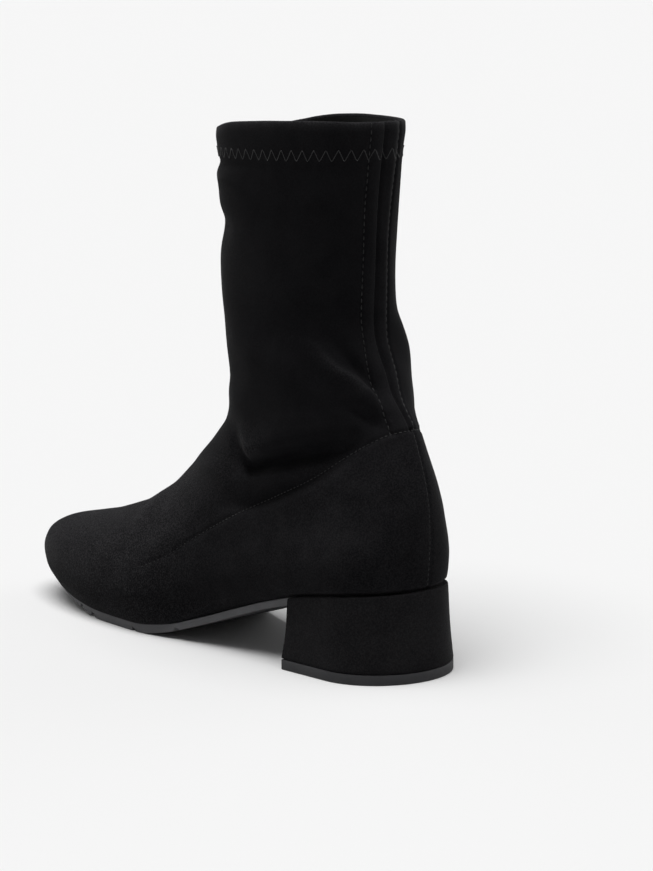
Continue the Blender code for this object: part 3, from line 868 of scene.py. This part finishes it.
# %% the finishes
TONE_AND_LIGHT_ATTRIBUTE = "tone_and_painted_light"
GRAIN = "grain"
SUEDE_FIXED = {
    "Specular IOR Level": 0.12,
    "Sheen Weight": 0.062,
    "Sheen Roughness": 0.28,
    "Sheen Tint": (1.0, 0.99, 1.0, 1),
}
NAP_COLUMNS = ("Dark", "Light", "Patch Scale", "Tuft Scale", "Tuft Share", "Tone And Painted Light", "Grain")
RUBBER_COLUMNS = ("Dark", "Light", "Grain Scale")
# The black suede's tone comes from the upper's attribute, which paints highlights and shade into its
# colour.
CLOTHS = (
    ("black_suede", 0.18, SUEDE_FIXED, (0.0034, 0.0032, 0.0044, 1), (0.0216, 0.0209, 0.0228, 1),
     75.0, 1500.0, 0.72, TONE_AND_LIGHT_ATTRIBUTE, GRAIN),
    ("heel_suede", 0.14, SUEDE_FIXED, (0.0096, 0.0092, 0.0106, 1), (0.0250, 0.0241, 0.0258, 1),
     70.0, 1450.0, 0.66, 1.0, 1.15),
    ("lining_cloth", 0.08, {"Specular IOR Level": 0.2}, (0.020, 0.020, 0.020, 1), (0.038, 0.038, 0.037, 1),
     80.0, 1900.0, 0.6, 1.0, 1.0),
    ("insole_cloth", 0.08, {"Specular IOR Level": 0.25}, (0.012, 0.012, 0.013, 1), (0.026, 0.026, 0.027, 1),
     60.0, 1500.0, 0.6, 1.0, 1.0),
)
RUBBERS = (
    ("sole_rubber", 0.05, {"Specular IOR Level": 0.35},
     (0.138, 0.138, 0.145, 1), (0.178, 0.178, 0.186, 1), 900.0),
    ("lift_rubber", 0.05, {"Specular IOR Level": 0.35},
     (0.064, 0.064, 0.069, 1), (0.084, 0.084, 0.089, 1), 900.0),
    ("black_thread", 0.04, {"Specular IOR Level": 0.5, "Coat Weight": 0.5, "Coat Roughness": 0.25},
     (0.008, 0.008, 0.009, 1), (0.018, 0.018, 0.020, 1), 2600.0),
)


def finish(name, group, values, bump_depth, fixed):
    """A material with a node group in front of its shader. A value that is a name is an attribute's."""
    material = bpy.data.materials.new(name)
    material.use_nodes = True
    tree = material.node_tree
    surface = tree.nodes.new("ShaderNodeGroup")
    surface.node_tree = group
    fill_inputs(tree, surface, {"Place": add_node(tree, "ShaderNodeTexCoord", output="Object")})
    for socket, value in values.items():
        if isinstance(value, str):
            painted = add_node(tree, "ShaderNodeAttribute", output="Fac", attribute_name=value)
            fill_inputs(tree, surface, {socket: painted})
        else:
            fill_inputs(tree, surface, {socket: value})
    slopes = {"Strength": 1.0, "Distance": bump_depth, "Height": surface.outputs["Height"]}
    fill_inputs(tree, tree.nodes["Principled BSDF"], {
        "Base Color": surface.outputs["Colour"],
        "Roughness": surface.outputs["Roughness"],
        "Normal": add_node(tree, "ShaderNodeBump", slopes),
        **fixed,
    })
    return material


finishes = {}
for group, columns, rows in ((nap, NAP_COLUMNS, CLOTHS), (rubber, RUBBER_COLUMNS, RUBBERS)):
    for name, bump, fixed, *values in rows:
        finishes[name] = finish(name, group, dict(zip(columns, values)), bump * MM, fixed)
print("finishes:", ", ".join(finishes))

# %% [markdown]
# The upper is one closed shell: the skin outside, the turned rim of the hem, the lining inside and
# the lasting margin that is pulled in under the foot. The lining needs only a third of the skin's
# steps, so the ring of faces at the rim and at the margin joins three steps to one.

# %% the upper
LINING_STRIDE = 3
LINING_RINGS = 60
LINING_BELOW_RIM = 4
LINING_ABOVE_FOOT = 2
LINING_CLEAR = (-4, -2, 2, 4)
WALL = 1.8 * MM
LASTING_MARGIN = 10 * MM
EDGE_FOLD = 0.5 * MM
RIM_TURNS = (30, 60, 90, 120, 150, 180)
FOOT_FULL_ROW = 8.5
FOOT_END_ROW = 11.5
# Painted light: marks above zero paint highlights into the suede's colour where the vamp, the instep, the
# ankle's front,
# marks below zero paint shade into the ankle crease, the trough above the quarter seam and the hollow
# waist.
# the fold's lip, the slanted ridge, the vamp's side, the counter's top, the strip's puffs and the waist's
# rim catch the light;
PAINTED_LIGHT_MARKS = (
    ("vamp_streak", ((8.15, 155), (7.5, 140.5), (7.0, 134.5), (6.05, 125)), (1.4, 2.0, 1.3, 0.2), 2.5, 3.5),
    ("instep_patch", ((9.2, 136), (9.9, 130), (10.25, 119), (10.0, 106.5)), (1.0, 2.0, 1.2, 0.2), 4.0, 5.0),
    ("ankle_front", ((12.6, 122), (11.6, 113), (10.7, 106)), (0.5, 0.8, 0.4), 4.0, 5.0),
    ("lip_corner", ((12.2, 109), (11.2, 101.5), (10.6, 96), (10.6, 90)), (0.4, 1.3, 1.8, 0.4), 5.0, 4.0),
    ("slant_crest", ((16.2, 44), (15.6, 37), (14.8, 27), (14.2, 23)), (0.4, 1.8, 2.0, 0.8), 1.2, 2.0),
    ("vamp_side", ((7.0, 112), (5.4, 113), (3.8, 122), (3.4, 150)), (0.2, 0.5, 0.5, 0.3), 20.0, 20.0),
    ("counter_top", ((7.4, 56), (6.2, 50), (4.6, 46)), (0.3, 0.5, 0.2), 9.0, 9.0),
    ("lateral_puff", LATERAL_PUFF, (0.7, 0.5), 3.5, 3.5),
    ("medial_puff", MEDIAL_PUFF, (1.0, 0.6), 3.5, 3.5),
    ("crease_dark", ((9.55, 92), (9.5, 87), (9.75, 78), (9.95, 68), (10.0, 58), (10.2, 48)),
     (-0.6, -2.3, -2.3, -2.2, -2.0, -0.4), 4.2, 5.0),
    ("second_dark", ((6.8, 84), (6.75, 79), (6.95, 74), (7.4, 68), (7.95, 61)),
     (-0.3, -1.3, -1.6, -1.2, -0.3), 5.0, 3.0),
    ("waist_dark", ((2.0, 94), (2.35, 86), (2.25, 75), (1.7, 67)), (-0.2, -0.5, -0.5, -0.2), 7.0, 7.0),
    ("waist_rim", ((1.05, 84.5), (0.8, 76), (0.5, 71)), (0.2, 0.6, 0.3), 3.0, 3.0),
)
SHAFT_GRAIN = 0.4
FOOT_GRAIN = 0.9
TOE_GRAIN = 2.3
GRAIN_MARKS = (
    ("lip", ((13.2, 122), (12.0, 108), (11.2, 99), (10.9, 88)), (0.6, 1.8, 2.2, 1.0), 8.0, 5.0),
    ("slant", ((16.9, 54), (15.8, 39), (14.6, 25)), (0.2, 0.4, 0.3), 4.0, 6.0),
    ("ankle_front", ((13.0, 136), (11.4, 120), (10.0, 108)), (0.8, 1.4, 1.2), 8.0, 8.0),
)
TOE_GRAIN_FROM = 95 * MM
TOE_GRAIN_TO = 140 * MM
# Painted highlight: the rim's top and its turned edge are painted much lighter, for the glow of the fuzzy
# edge.
# The hem band below the rim is a little lighter.
RIM_PAINTED_HIGHLIGHT = 2.3
RIM_HIGHLIGHT_DEPTH = 3.6 * MM
HEM_TONE_LIFT = 0.35


def add_piece(name, points, faces, materials, face_material=None):
    """A named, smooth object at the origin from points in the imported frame."""
    mesh = bpy.data.meshes.new(name)
    mesh.from_pydata(np.asarray(points).tolist(), [], faces)
    for material in materials:
        mesh.materials.append(material)
    if face_material is not None:
        mesh.polygons.foreach_set("material_index", face_material)
    mesh.shade_smooth()
    mesh.update()
    piece = bpy.data.objects.new(name, mesh)
    scene.collection.objects.link(piece)
    return piece


def tube_faces(first, second, count):
    """Quads between two closed loops of vertices, given the index at which each starts."""
    pairs = [(k, (k + 1) % count) for k in range(count)]
    return [(first + k, second + k, second + after, first + after) for k, after in pairs]


def gathering_faces(fine, coarse, count, stride):
    """Faces between a fine loop and a coarse one that has a vertex at every stride of it."""
    faces = []
    for k in range(count // stride):
        edge = [fine + (k * stride + step) % count for step in range(stride + 1)]
        faces.append((*reversed(edge), coarse + k, coarse + (k + 1) % (count // stride)))
    return faces


def rim_loops():
    """Rings that turn the hem over the collar, from outside to inside."""
    edge, up, out = skin[-1], skin_up[-1], skin_out[-1]
    loops = []
    for turn in RIM_TURNS:
        bend = math.radians(turn)
        loops.append(edge - out * RIM_RADIUS * (1 - math.cos(bend)) + up * RIM_RADIUS * math.sin(bend))
    return loops


def lining_loops():
    """Rings of the lining, from the rim down to the lasting margin, clear of every trough outside."""
    total = skin_lift + seam_lift
    deepest = total.copy()
    for shift in LINING_CLEAR:
        deepest = np.minimum(deepest, np.roll(total, shift, axis=1))
        deepest = np.minimum(deepest, np.roll(total, shift, axis=0))
    inner = plain_skin + (np.minimum(deepest, 0) - WALL)[..., None] * plain_out
    inner[..., 2] += skin[..., 2] - (plain_skin + total[..., None] * plain_out)[..., 2]
    chosen = np.linspace(RINGS - LINING_BELOW_RIM, LINING_ABOVE_FOOT, LINING_RINGS).astype(int)
    return [inner[ring, ::LINING_STRIDE] for ring in chosen]


def margin_loop(lift, width):
    """A ring under the foot, a width in from the feather line."""
    feather = plain_skin[0, ::LINING_STRIDE]
    along = np.roll(feather[:, :2], -1, axis=0) - np.roll(feather[:, :2], 1, axis=0)
    along /= np.linalg.norm(along, axis=1)[:, None]
    inwards = np.stack([-along[:, 1], along[:, 0]], axis=1)
    inner = feather[:, :2] + np.reshape(width, (-1, 1)) * inwards
    return np.column_stack([inner, feather_line(inner[:, 1]) + lift])


fine_loops = list(skin) + rim_loops()
edge_width = EDGE_FOLD + TUCK * tuck_share[0, ::LINING_STRIDE]
margin_steps = ((WALL, LASTING_MARGIN), (0, LASTING_MARGIN), (0, edge_width))
coarse_loops = lining_loops() + [margin_loop(lift, width) for lift, width in margin_steps]
coarse_count = AROUND // LINING_STRIDE
first_coarse = len(fine_loops) * AROUND
upper_faces = []
for ring in range(len(fine_loops) - 1):
    upper_faces += tube_faces(ring * AROUND, (ring + 1) * AROUND, AROUND)
suede_faces = len(upper_faces)
upper_faces += gathering_faces((len(fine_loops) - 1) * AROUND, first_coarse, AROUND, LINING_STRIDE)
for ring in range(len(coarse_loops) - 1):
    start = first_coarse + ring * coarse_count
    upper_faces += tube_faces(start, start + coarse_count, coarse_count)
lining_faces = len(upper_faces)
last_coarse = first_coarse + (len(coarse_loops) - 1) * coarse_count
upper_faces += [tuple(reversed(face)) for face in gathering_faces(0, last_coarse, AROUND, LINING_STRIDE)]
upper_points = place(np.concatenate(fine_loops + coarse_loops))
face_kind = [0] * suede_faces + [1] * (lining_faces - suede_faces) + [0] * (len(upper_faces) - lining_faces)
upper_cloths = (finishes["black_suede"], finishes["lining_cloth"])
upper = add_piece("boot_upper", upper_points, upper_faces, upper_cloths, face_kind)
# The cloth's tone: lighter on the foot than on the shaft, with painted highlights and painted shade from
# the marks
# and a painted highlight along the rim.
on_foot = smooth_step(FOOT_END_ROW, FOOT_FULL_ROW, row_grid)
on_toe = on_foot * smooth_step(TOE_GRAIN_FROM, TOE_GRAIN_TO, plain_skin[..., 1])
tone_and_light_grid = on_foot + fold_lift(PAINTED_LIGHT_MARKS, 1) / MM
tone_and_light_grid += HEM_TONE_LIFT * smooth_step(HEM_DEPTH + HEM_FADE, HEM_DEPTH - HEM_FADE, below_rim)
tone_and_light_grid += (RIM_PAINTED_HIGHLIGHT - HEM_TONE_LIFT) * (1 - smooth_step(RIM_RADIUS, RIM_HIGHLIGHT_DEPTH, below_rim))
tone_and_light_share = np.zeros(len(upper_points))
tone_and_light_share[:tone_and_light_grid.size] = tone_and_light_grid.ravel()
tone_and_light_share[tone_and_light_grid.size:first_coarse] = RIM_PAINTED_HIGHLIGHT
grain_grid = SHAFT_GRAIN + (FOOT_GRAIN - SHAFT_GRAIN) * on_foot + (TOE_GRAIN - FOOT_GRAIN) * on_toe
grain_grid = grain_grid + fold_lift(GRAIN_MARKS, 1) / MM
grain_share = np.ones(len(upper_points))
grain_share[:grain_grid.size] = grain_grid.ravel()
for attribute, values in ((TONE_AND_LIGHT_ATTRIBUTE, tone_and_light_share), (GRAIN, grain_share)):
    upper.data.attributes.new(attribute, "FLOAT", "POINT").data.foreach_set("value", values)
print("upper:", len(upper_points), "points,", len(upper_faces), "faces")

# %% [markdown]
# Stitches repeat along a path, which is a job for Geometry Nodes. The tree takes a chain of edges,
# turns it into a curve, steps along it by the stitch pitch and lays one small bean of thread at each
# step, turned along the path. Every size is a named input, so one tree sews all the straight rows.

# %% a tree that sews
BEAN_SEGMENTS = 8
BEAN_RINGS = 5


def thread_tree(name, sizes):
    """A tree that takes a path, named sizes and a thread, with what it is given and the path as a curve."""
    tree = bpy.data.node_groups.new(name, "GeometryNodeTree")
    inputs = (("Path", "Geometry"), *((size, "Float") for size in sizes), ("Thread", "Material"))
    for socket, kind in inputs:
        tree.interface.new_socket(socket, in_out="INPUT", socket_type="NodeSocket" + kind)
    tree.interface.new_socket("Stitches", in_out="OUTPUT", socket_type="NodeSocketGeometry")
    given = tree.nodes.new("NodeGroupInput").outputs
    return tree, given, add_node(tree, "GeometryNodeMeshToCurve", {"Mesh": given["Path"]})


def end_tree(tree, shape, thread):
    """Makes a tree's instances real, shades them smooth, gives them a thread and puts them out."""
    real = add_node(tree, "GeometryNodeRealizeInstances", {"Geometry": shape})
    smooth = add_node(tree, "GeometryNodeSetShadeSmooth", {"Geometry": real})
    coloured = add_node(tree, "GeometryNodeSetMaterial", {"Geometry": smooth, "Material": thread})
    fill_inputs(tree, tree.nodes.new("NodeGroupOutput"), {"Stitches": coloured})


def sewing_tree():
    """A tree that lays stitches along a chain of edges."""
    tree, given, curve = thread_tree("sew_row", ("Pitch", "Stitch Length", "Thread Radius"))
    pitch = {"Curve": curve, "Length": given["Pitch"]}
    steps = add_node(tree, "GeometryNodeResampleCurve", pitch, mode="LENGTH")
    tangent = add_node(tree, "GeometryNodeInputTangent")
    turn = add_node(tree, "FunctionNodeAlignRotationToVector", {"Vector": tangent}, axis="X")
    ball = {"Segments": BEAN_SEGMENTS, "Rings": BEAN_RINGS, "Radius": 1.0}
    half = math_node(tree, "MULTIPLY", given["Stitch Length"], 0.5)
    radius = given["Thread Radius"]
    size = add_node(tree, "ShaderNodeCombineXYZ", {"X": half, "Y": radius, "Z": radius})
    bean = {"Geometry": add_node(tree, "GeometryNodeMeshUVSphere", ball), "Scale": size}
    stitch = add_node(tree, "GeometryNodeTransform", bean)
    row = {"Points": steps, "Instance": stitch, "Rotation": turn}
    end_tree(tree, add_node(tree, "GeometryNodeInstanceOnPoints", row), given["Thread"])
    return tree


def chain_object(name, chains, closed=False):
    """An object of loose edges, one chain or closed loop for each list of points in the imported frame."""
    points = []
    edges = []
    for chain in chains:
        start = len(points)
        points += np.asarray(chain).tolist()
        edges += [(k, k + 1) for k in range(start, len(points) - 1)]
        if closed:
            edges.append((len(points) - 1, start))
    mesh = bpy.data.meshes.new(name)
    mesh.from_pydata(points, edges, [])
    piece = bpy.data.objects.new(name, mesh)
    scene.collection.objects.link(piece)
    return piece


def grow_on(piece, tree, values):
    """Runs a Geometry Nodes tree on an object and keeps the result as its plain mesh."""
    modifier = piece.modifiers.new("grow", "NODES")
    modifier.node_group = tree
    for socket in tree.interface.items_tree:
        if socket.name in values:
            modifier[socket.identifier] = values[socket.name]
    evaluated = piece.evaluated_get(bpy.context.evaluated_depsgraph_get())
    mesh = bpy.data.meshes.new_from_object(evaluated)
    mesh.name = piece.name
    piece.modifiers.remove(modifier)
    piece.data = mesh
    return piece


sew_row = sewing_tree()
print("sewing tree with", len(sew_row.nodes), "nodes")

# %% [markdown]
# Two topstitch rows hold down the back strip, a finer row joins the heel quarter to the shaft on both
# sides, and one runs down the back of the quarter. Each path is read from the finished skin, so the
# thread follows every fold, and it lies half sunk in its trough as a tight stitch does.

# %% the topstitching
SUNK = 0.35
BACK_SHIFT = 0.8
QUARTER_BACKWARD = QUARTER_SEAM[:SEWN_KNOTS]
QUARTER_FORWARD = QUARTER_SEAM[SEWN_KNOTS - 1:-1]
QUARTER_BESIDE = tuple((row, turn + BACK_SHIFT) for row, turn in QUARTER_BACK)
STITCH_ROWS = (
    ("strip_stitches", (LATERAL_ROW, MEDIAL_ROW), 2.9, 2.1, 0.26),
    ("quarter_stitches", (QUARTER_BACKWARD, other_side(QUARTER_BACKWARD)), 2.1, 1.45, 0.21),
    ("quarter_front_stitches", (QUARTER_FORWARD, other_side(QUARTER_FORWARD)), 2.6, 1.2, 0.15),
    ("quarter_back_stitches", (QUARTER_BESIDE,), 2.2, 1.5, 0.16),
)
SEAM_STEPS = 160


def thread_path(path, lift):
    """A path over the finished skin, lifted clear of it."""
    rows, degrees, _ = path_over_skin(path, SEAM_STEPS)
    points = read_grid(skin, rows, degrees) + lift * read_grid(skin_out, rows, degrees)
    return place(points)


threads = []
for name, paths, pitch, length, radius in STITCH_ROWS:
    chains = [thread_path(path, radius * MM * SUNK) for path in paths]
    stitch = {"Pitch": pitch * MM, "Stitch Length": length * MM, "Thread Radius": radius * MM}
    row = grow_on(chain_object(name, chains), sew_row, {**stitch, "Thread": finishes["black_thread"]})
    threads.append(row)
    print(name, len(row.data.polygons), "faces")

# %% [markdown]
# The hem is sewn with a zigzag, so that it can stretch with the cloth. It is one thread that swings
# up and down round the collar, so a second tree with the same start and end sweeps a small circle
# along the path instead.

# %% the zigzag hem
ZIGZAG_PITCH = 5.3 * MM
ZIGZAG_HEIGHT = 4.1 * MM
ZIGZAG_STEPS = 12
ZIGZAG_POINT = 0.94
ZIGZAG_RADIUS = 0.23 * MM
ZIGZAG_SIDES = 6
ZIGZAG_SUNK = -0.45
ZIGZAG_PROUD = 0.6
PROUD_POWER = 3
HEM_SAMPLES = 721


def sweeping_tree():
    """A tree that sweeps a round thread along a chain of edges."""
    tree, given, curve = thread_tree("sweep_thread", ("Thread Radius",))
    circle = {"Resolution": ZIGZAG_SIDES, "Radius": given["Thread Radius"]}
    ring = add_node(tree, "GeometryNodeCurvePrimitiveCircle", circle)
    swept = add_node(tree, "GeometryNodeCurveToMesh", {"Curve": curve, "Profile Curve": ring})
    end_tree(tree, swept, given["Thread"])
    return tree


def zigzag_chain():
    """The swinging path of the hem thread, closed round the collar."""
    degrees = np.linspace(0, 360, HEM_SAMPLES)
    ring = read_grid(skin, np.full(HEM_SAMPLES, HEM_ROW), degrees)
    way = np.concatenate([[0], np.cumsum(np.linalg.norm(np.diff(ring, axis=0), axis=1))])
    swings = round(way[-1] / ZIGZAG_PITCH)
    share = np.linspace(0, 1, swings * ZIGZAG_STEPS, endpoint=False)
    swing = np.arcsin(ZIGZAG_POINT * np.sin(2 * np.pi * swings * share)) / math.asin(ZIGZAG_POINT)
    row_height = np.interp(HEM_ROW, ring_row, np.gradient(ring_way, ring_row))
    rows = HEM_ROW + swing * ZIGZAG_HEIGHT / 2 / row_height
    turn = np.interp(share * way[-1], way, degrees)
    proud = ZIGZAG_SUNK + (ZIGZAG_PROUD - ZIGZAG_SUNK) * np.abs(swing) ** PROUD_POWER
    lift = (ZIGZAG_RADIUS * proud)[:, None]
    return place(read_grid(skin, rows, turn) + lift * read_grid(skin_out, rows, turn))


zigzag_loop = chain_object("hem_zigzag", [zigzag_chain()], closed=True)
zigzag_thread = {"Thread Radius": ZIGZAG_RADIUS, "Thread": finishes["black_thread"]}
hem_zigzag = grow_on(zigzag_loop, sweeping_tree(), zigzag_thread)
threads.append(hem_zigzag)
print("zigzag", len(hem_zigzag.data.polygons), "faces")

# %% [markdown]
# The sole, the heel and its lift are slabs. Each is a stack of levels, and a level is a row of paired
# outer and inner points from its back to its front. A real moulded or wrapped edge is never sharp, so
# the first and last few levels draw in by a small radius and round it.

# %% slabs with round edges
FEATHER = dict(zip(SECTION_COLUMNS, np.array(SECTION_ROWS[0]) * SECTION_UNITS))
ROUND_TURNS = (0, 30, 60, 90)
MERGE_GAP = 0.002 * MM
SHARP_ANGLE = math.radians(50)


def slab(name, levels, finish_name):
    """A closed solid between stacked levels of lateral and medial points, joined at its round ends."""
    count = len(levels[0][0])
    points = []
    for lateral, medial in levels:
        points += [*lateral, *medial[::-1]]
    loop = 2 * count
    faces = []
    for level in range(len(levels) - 1):
        faces += tube_faces(level * loop, (level + 1) * loop, loop)
    top = (len(levels) - 1) * loop
    for k in range(count - 1):
        near, far = k, loop - 1 - k
        faces.append((near, near + 1, far - 1, far))
        faces.append((top + near, top + far, top + far - 1, top + near + 1))
    piece = add_piece(name, place(np.array(points)), faces, (finishes[finish_name],))
    work = bmesh.new()
    work.from_mesh(piece.data)
    bmesh.ops.remove_doubles(work, verts=work.verts, dist=MERGE_GAP)
    bmesh.ops.recalc_face_normals(work, faces=work.faces)
    work.to_mesh(piece.data)
    work.free()
    piece.data.shade_smooth()
    piece.data.set_sharp_from_angle(angle=SHARP_ANGLE)
    print(name, len(piece.data.polygons), "faces")
    return piece


def round_edge(radius):
    """Insets and rises of the levels that round a slab's edge, from its face to its side."""
    turns = np.radians(ROUND_TURNS)
    return list(zip(radius * (1 - np.sin(turns)), radius * (1 - np.cos(turns))))


def eased(start, end, count, ease_start, ease_end):
    """Numbers from start to end, closer together at the ends that are eased."""
    angle = np.linspace(0 if ease_start else np.pi / 2, np.pi if ease_end else np.pi / 2, count)
    wave = -np.cos(angle)
    return start + (end - start) * (wave - wave[0]) / (wave[-1] - wave[0])


def sole_span(inset, toe_inset=0.0):
    """The reaches of the heel and toe ends of the feather outline, drawn in by an inset."""
    return FEATHER["back_reach"] + inset, FEATHER["front_reach"] - inset - toe_inset


def sole_sides(reach, inset, toe_inset):
    """Lateral and medial edges of the feather outline at a reach, drawn in by an inset."""
    back, front = sole_span(inset, toe_inset)
    share = np.clip((reach - back) / (front - back), 0, 1)
    lateral, medial = sole_bodies(share)
    outer = (FEATHER["lateral"] * lateral - inset) * sole_ends(share)
    inner = (FEATHER["medial"] * medial - inset) * sole_ends(share)
    shift = middle_shift(share)
    return shift + outer, shift - inner


def sole_level(share, back, inset, line, rise, toe_inset=0.0):
    """One level of a sole piece at shares of its own length, at a rise over a line of heights."""
    front = sole_span(inset, toe_inset)[1]
    reach = back + (front - back) * share
    height = line(reach) + rise
    return [np.stack([side, reach, height], axis=1) for side in sole_sides(reach, inset, toe_inset)]


print("an edge is rounded in", len(ROUND_TURNS), "levels")

# %% [markdown]
# The outsole is a thin rubber sheet from the front of the heel to the toe, with narrow grooves across
# the tread. Its edge is the pale grey line under the upper. Its stations are set at the rims of
# every groove, so that each groove keeps a crisp wall.

# %% the outsole
SEAM_GAP = 0.3 * MM
BREAST_REACH = 53.0 * MM
OUTSOLE_INSET = 0.8 * MM
OUTSOLE_TOE_INSET = 2.0 * MM
OUTSOLE_ROUND = 0.5 * MM
OUTSOLE_STATIONS = 150
GROOVE_REACHES = (124.4, 151, 183.7, 194.4)
GROOVE_WIDTH = 2.6 * MM
GROOVE_DEPTH = 1.4 * MM
GROOVE_SLANT = 0.15 * MM
GROOVE_CLEAR = 0.3 * MM


def tread_line(reach):
    """The height of the outsole's underside, with the grooves across the tread."""
    lift = np.zeros_like(reach)
    for middle in GROOVE_REACHES:
        gap = np.abs(reach - middle * MM)
        wall = (GROOVE_WIDTH / 2 + GROOVE_SLANT - gap) / GROOVE_SLANT
        lift = np.maximum(lift, GROOVE_DEPTH * np.clip(wall, 0, 1))
    return line_height(TREAD_ROWS, reach) + lift


def outsole_level(inset, line, rise):
    """One level of the outsole."""
    return sole_level(sole_shares, outsole_back, OUTSOLE_INSET + inset, line, rise, OUTSOLE_TOE_INSET)


outsole_back = BREAST_REACH + SEAM_GAP
outsole_front = sole_span(OUTSOLE_INSET, OUTSOLE_TOE_INSET)[1]
groove_rims = [GROOVE_WIDTH / 2, GROOVE_WIDTH / 2 + GROOVE_SLANT]
groove_marks = np.array([m * MM + s * r for m in GROOVE_REACHES for r in groove_rims for s in (-1, 1)])
plain_marks = eased(outsole_back, outsole_front, OUTSOLE_STATIONS, False, True)
clear_marks = [mark for mark in plain_marks if np.min(np.abs(groove_marks - mark)) > GROOVE_CLEAR]
sole_marks = np.sort(np.concatenate([clear_marks, groove_marks]))
sole_shares = (sole_marks - outsole_back) / (outsole_front - outsole_back)
outsole_edge = round_edge(OUTSOLE_ROUND)
outsole_levels = [outsole_level(inset, tread_line, rise) for inset, rise in outsole_edge]
for inset, rise in reversed(outsole_edge):
    outsole_levels.append(outsole_level(inset, feather_line, -SEAM_GAP - rise))
outsole = slab("outsole_rubber", outsole_levels, "sole_rubber")

# %% [markdown]
# The heel is a plastic block with the suede glued round it, a little proud of the upper, and it
# flares towards the floor. The rubber lift below it is what wears, so it can be changed. Both are D
# shapes in plan, round at the back and flat at the front, which is called the breast.

# %% heel cover and lift
HEEL_ROWS = (
    ("foot", 0.0, -2.0, 54.6, 32.2, 31.8),
    ("waist", 0.5, -0.8, 53.4, 30.8, 30.4),
    ("seat", 1.0, 0.0, 53.0, 30.2, 29.8),
)
HEEL_CAP_REACH = 29.5 * MM
HEEL_STATIONS = 70
HEEL_LEVELS = 18
LIFT_THICKNESS = 4.6 * MM
COVER_ROUND = 0.7 * MM
LIFT_ROUND = 0.5 * MM


def heel_level(share, inset, foot, rise):
    """One level of the heel at a share from its foot to its seat, drawn in by an inset."""
    shares = [row[1] for row in HEEL_ROWS]
    columns = np.array([row[2:] for row in HEEL_ROWS]) * MM
    back, breast, lateral, medial = (curve_through(shares, column, share) for column in columns.T)
    reach = eased(back + inset, breast - inset, HEEL_STATIONS, True, False)
    cap = round_end(1 - (reach - back - inset) / (HEEL_CAP_REACH - inset), 2)
    seat = feather_line(reach) - SEAM_GAP
    height = foot + share * (seat - foot) + rise
    return [np.stack([side * cap, reach, height], axis=1) for side in (lateral - inset, inset - medial)]


cover_foot = LIFT_THICKNESS + SEAM_GAP
cover_levels = [heel_level(0.0, inset, cover_foot, rise) for inset, rise in round_edge(COVER_ROUND / 2)]
for share in np.linspace(0, 1, HEEL_LEVELS)[1:-1]:
    cover_levels.append(heel_level(share, 0.0, cover_foot, 0.0))
for inset, rise in reversed(round_edge(COVER_ROUND)):
    cover_levels.append(heel_level(1.0, inset, cover_foot, -rise))
heel_cover = slab("heel_cover", cover_levels, "heel_suede")
lift_edge = round_edge(LIFT_ROUND)
lift_levels = [heel_level(0.0, inset, rise, 0.0) for inset, rise in lift_edge]
for inset, rise in reversed(lift_edge):
    lift_levels.append(heel_level(0.0, inset, LIFT_THICKNESS - rise, 0.0))
heel_lift = slab("heel_lift_rubber", lift_levels, "lift_rubber")

# %% [markdown]
# The insole is what the foot stands on. It shows only when one looks down into the shaft, but it is
# there, with a soft edge and a plain cloth cover.

# %% the insole
INSOLE_INSET = 2.9 * MM
INSOLE_LIFT = 2.3 * MM
INSOLE_THICKNESS = 2.5 * MM
INSOLE_ROUND = 0.8 * MM
INSOLE_STATIONS = 150


def insole_level(inset, lift):
    """One level of the insole, drawn in by an inset and lifted over the feather line."""
    back = sole_span(INSOLE_INSET + inset)[0]
    shares = eased(0, 1, INSOLE_STATIONS, True, True)
    return sole_level(shares, back, INSOLE_INSET + inset, feather_line, INSOLE_LIFT + lift)


insole_levels = [insole_level(inset, rise) for inset, rise in round_edge(INSOLE_ROUND / 2)]
for inset, rise in reversed(round_edge(INSOLE_ROUND)):
    insole_levels.append(insole_level(inset, INSOLE_THICKNESS - rise))
insole = slab("insole_cover", insole_levels, "insole_cloth")

# %% [markdown]
# Last, each piece hides the node of the imported model that it stands for, is lit by the boot's lamp
# and rides on the boot's one body, and so does every row of stitches.

# %% hand over
STANDS_FOR = (
    (upper, "upper", "suede"),
    (insole, "insole", "insole_cover"),
    (outsole, "outsole", "sole_rubber"),
    (heel_cover, "heel_block", "heel_cover"),
    (heel_lift, "heel_lift", "lift_rubber"),
)
for piece, node, slot in STANDS_FOR:
    lit_by["boot_lamp"].objects.link(piece)
    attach(piece, "root")
    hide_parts(node)
for row in threads:
    lit_by["boot_lamp"].objects.link(row)
    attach(row, "root")

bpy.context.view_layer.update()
triangles = sum(len(p.vertices) - 2 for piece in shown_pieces() for p in piece.data.polygons)
print("dressed boot:", triangles, "triangles")
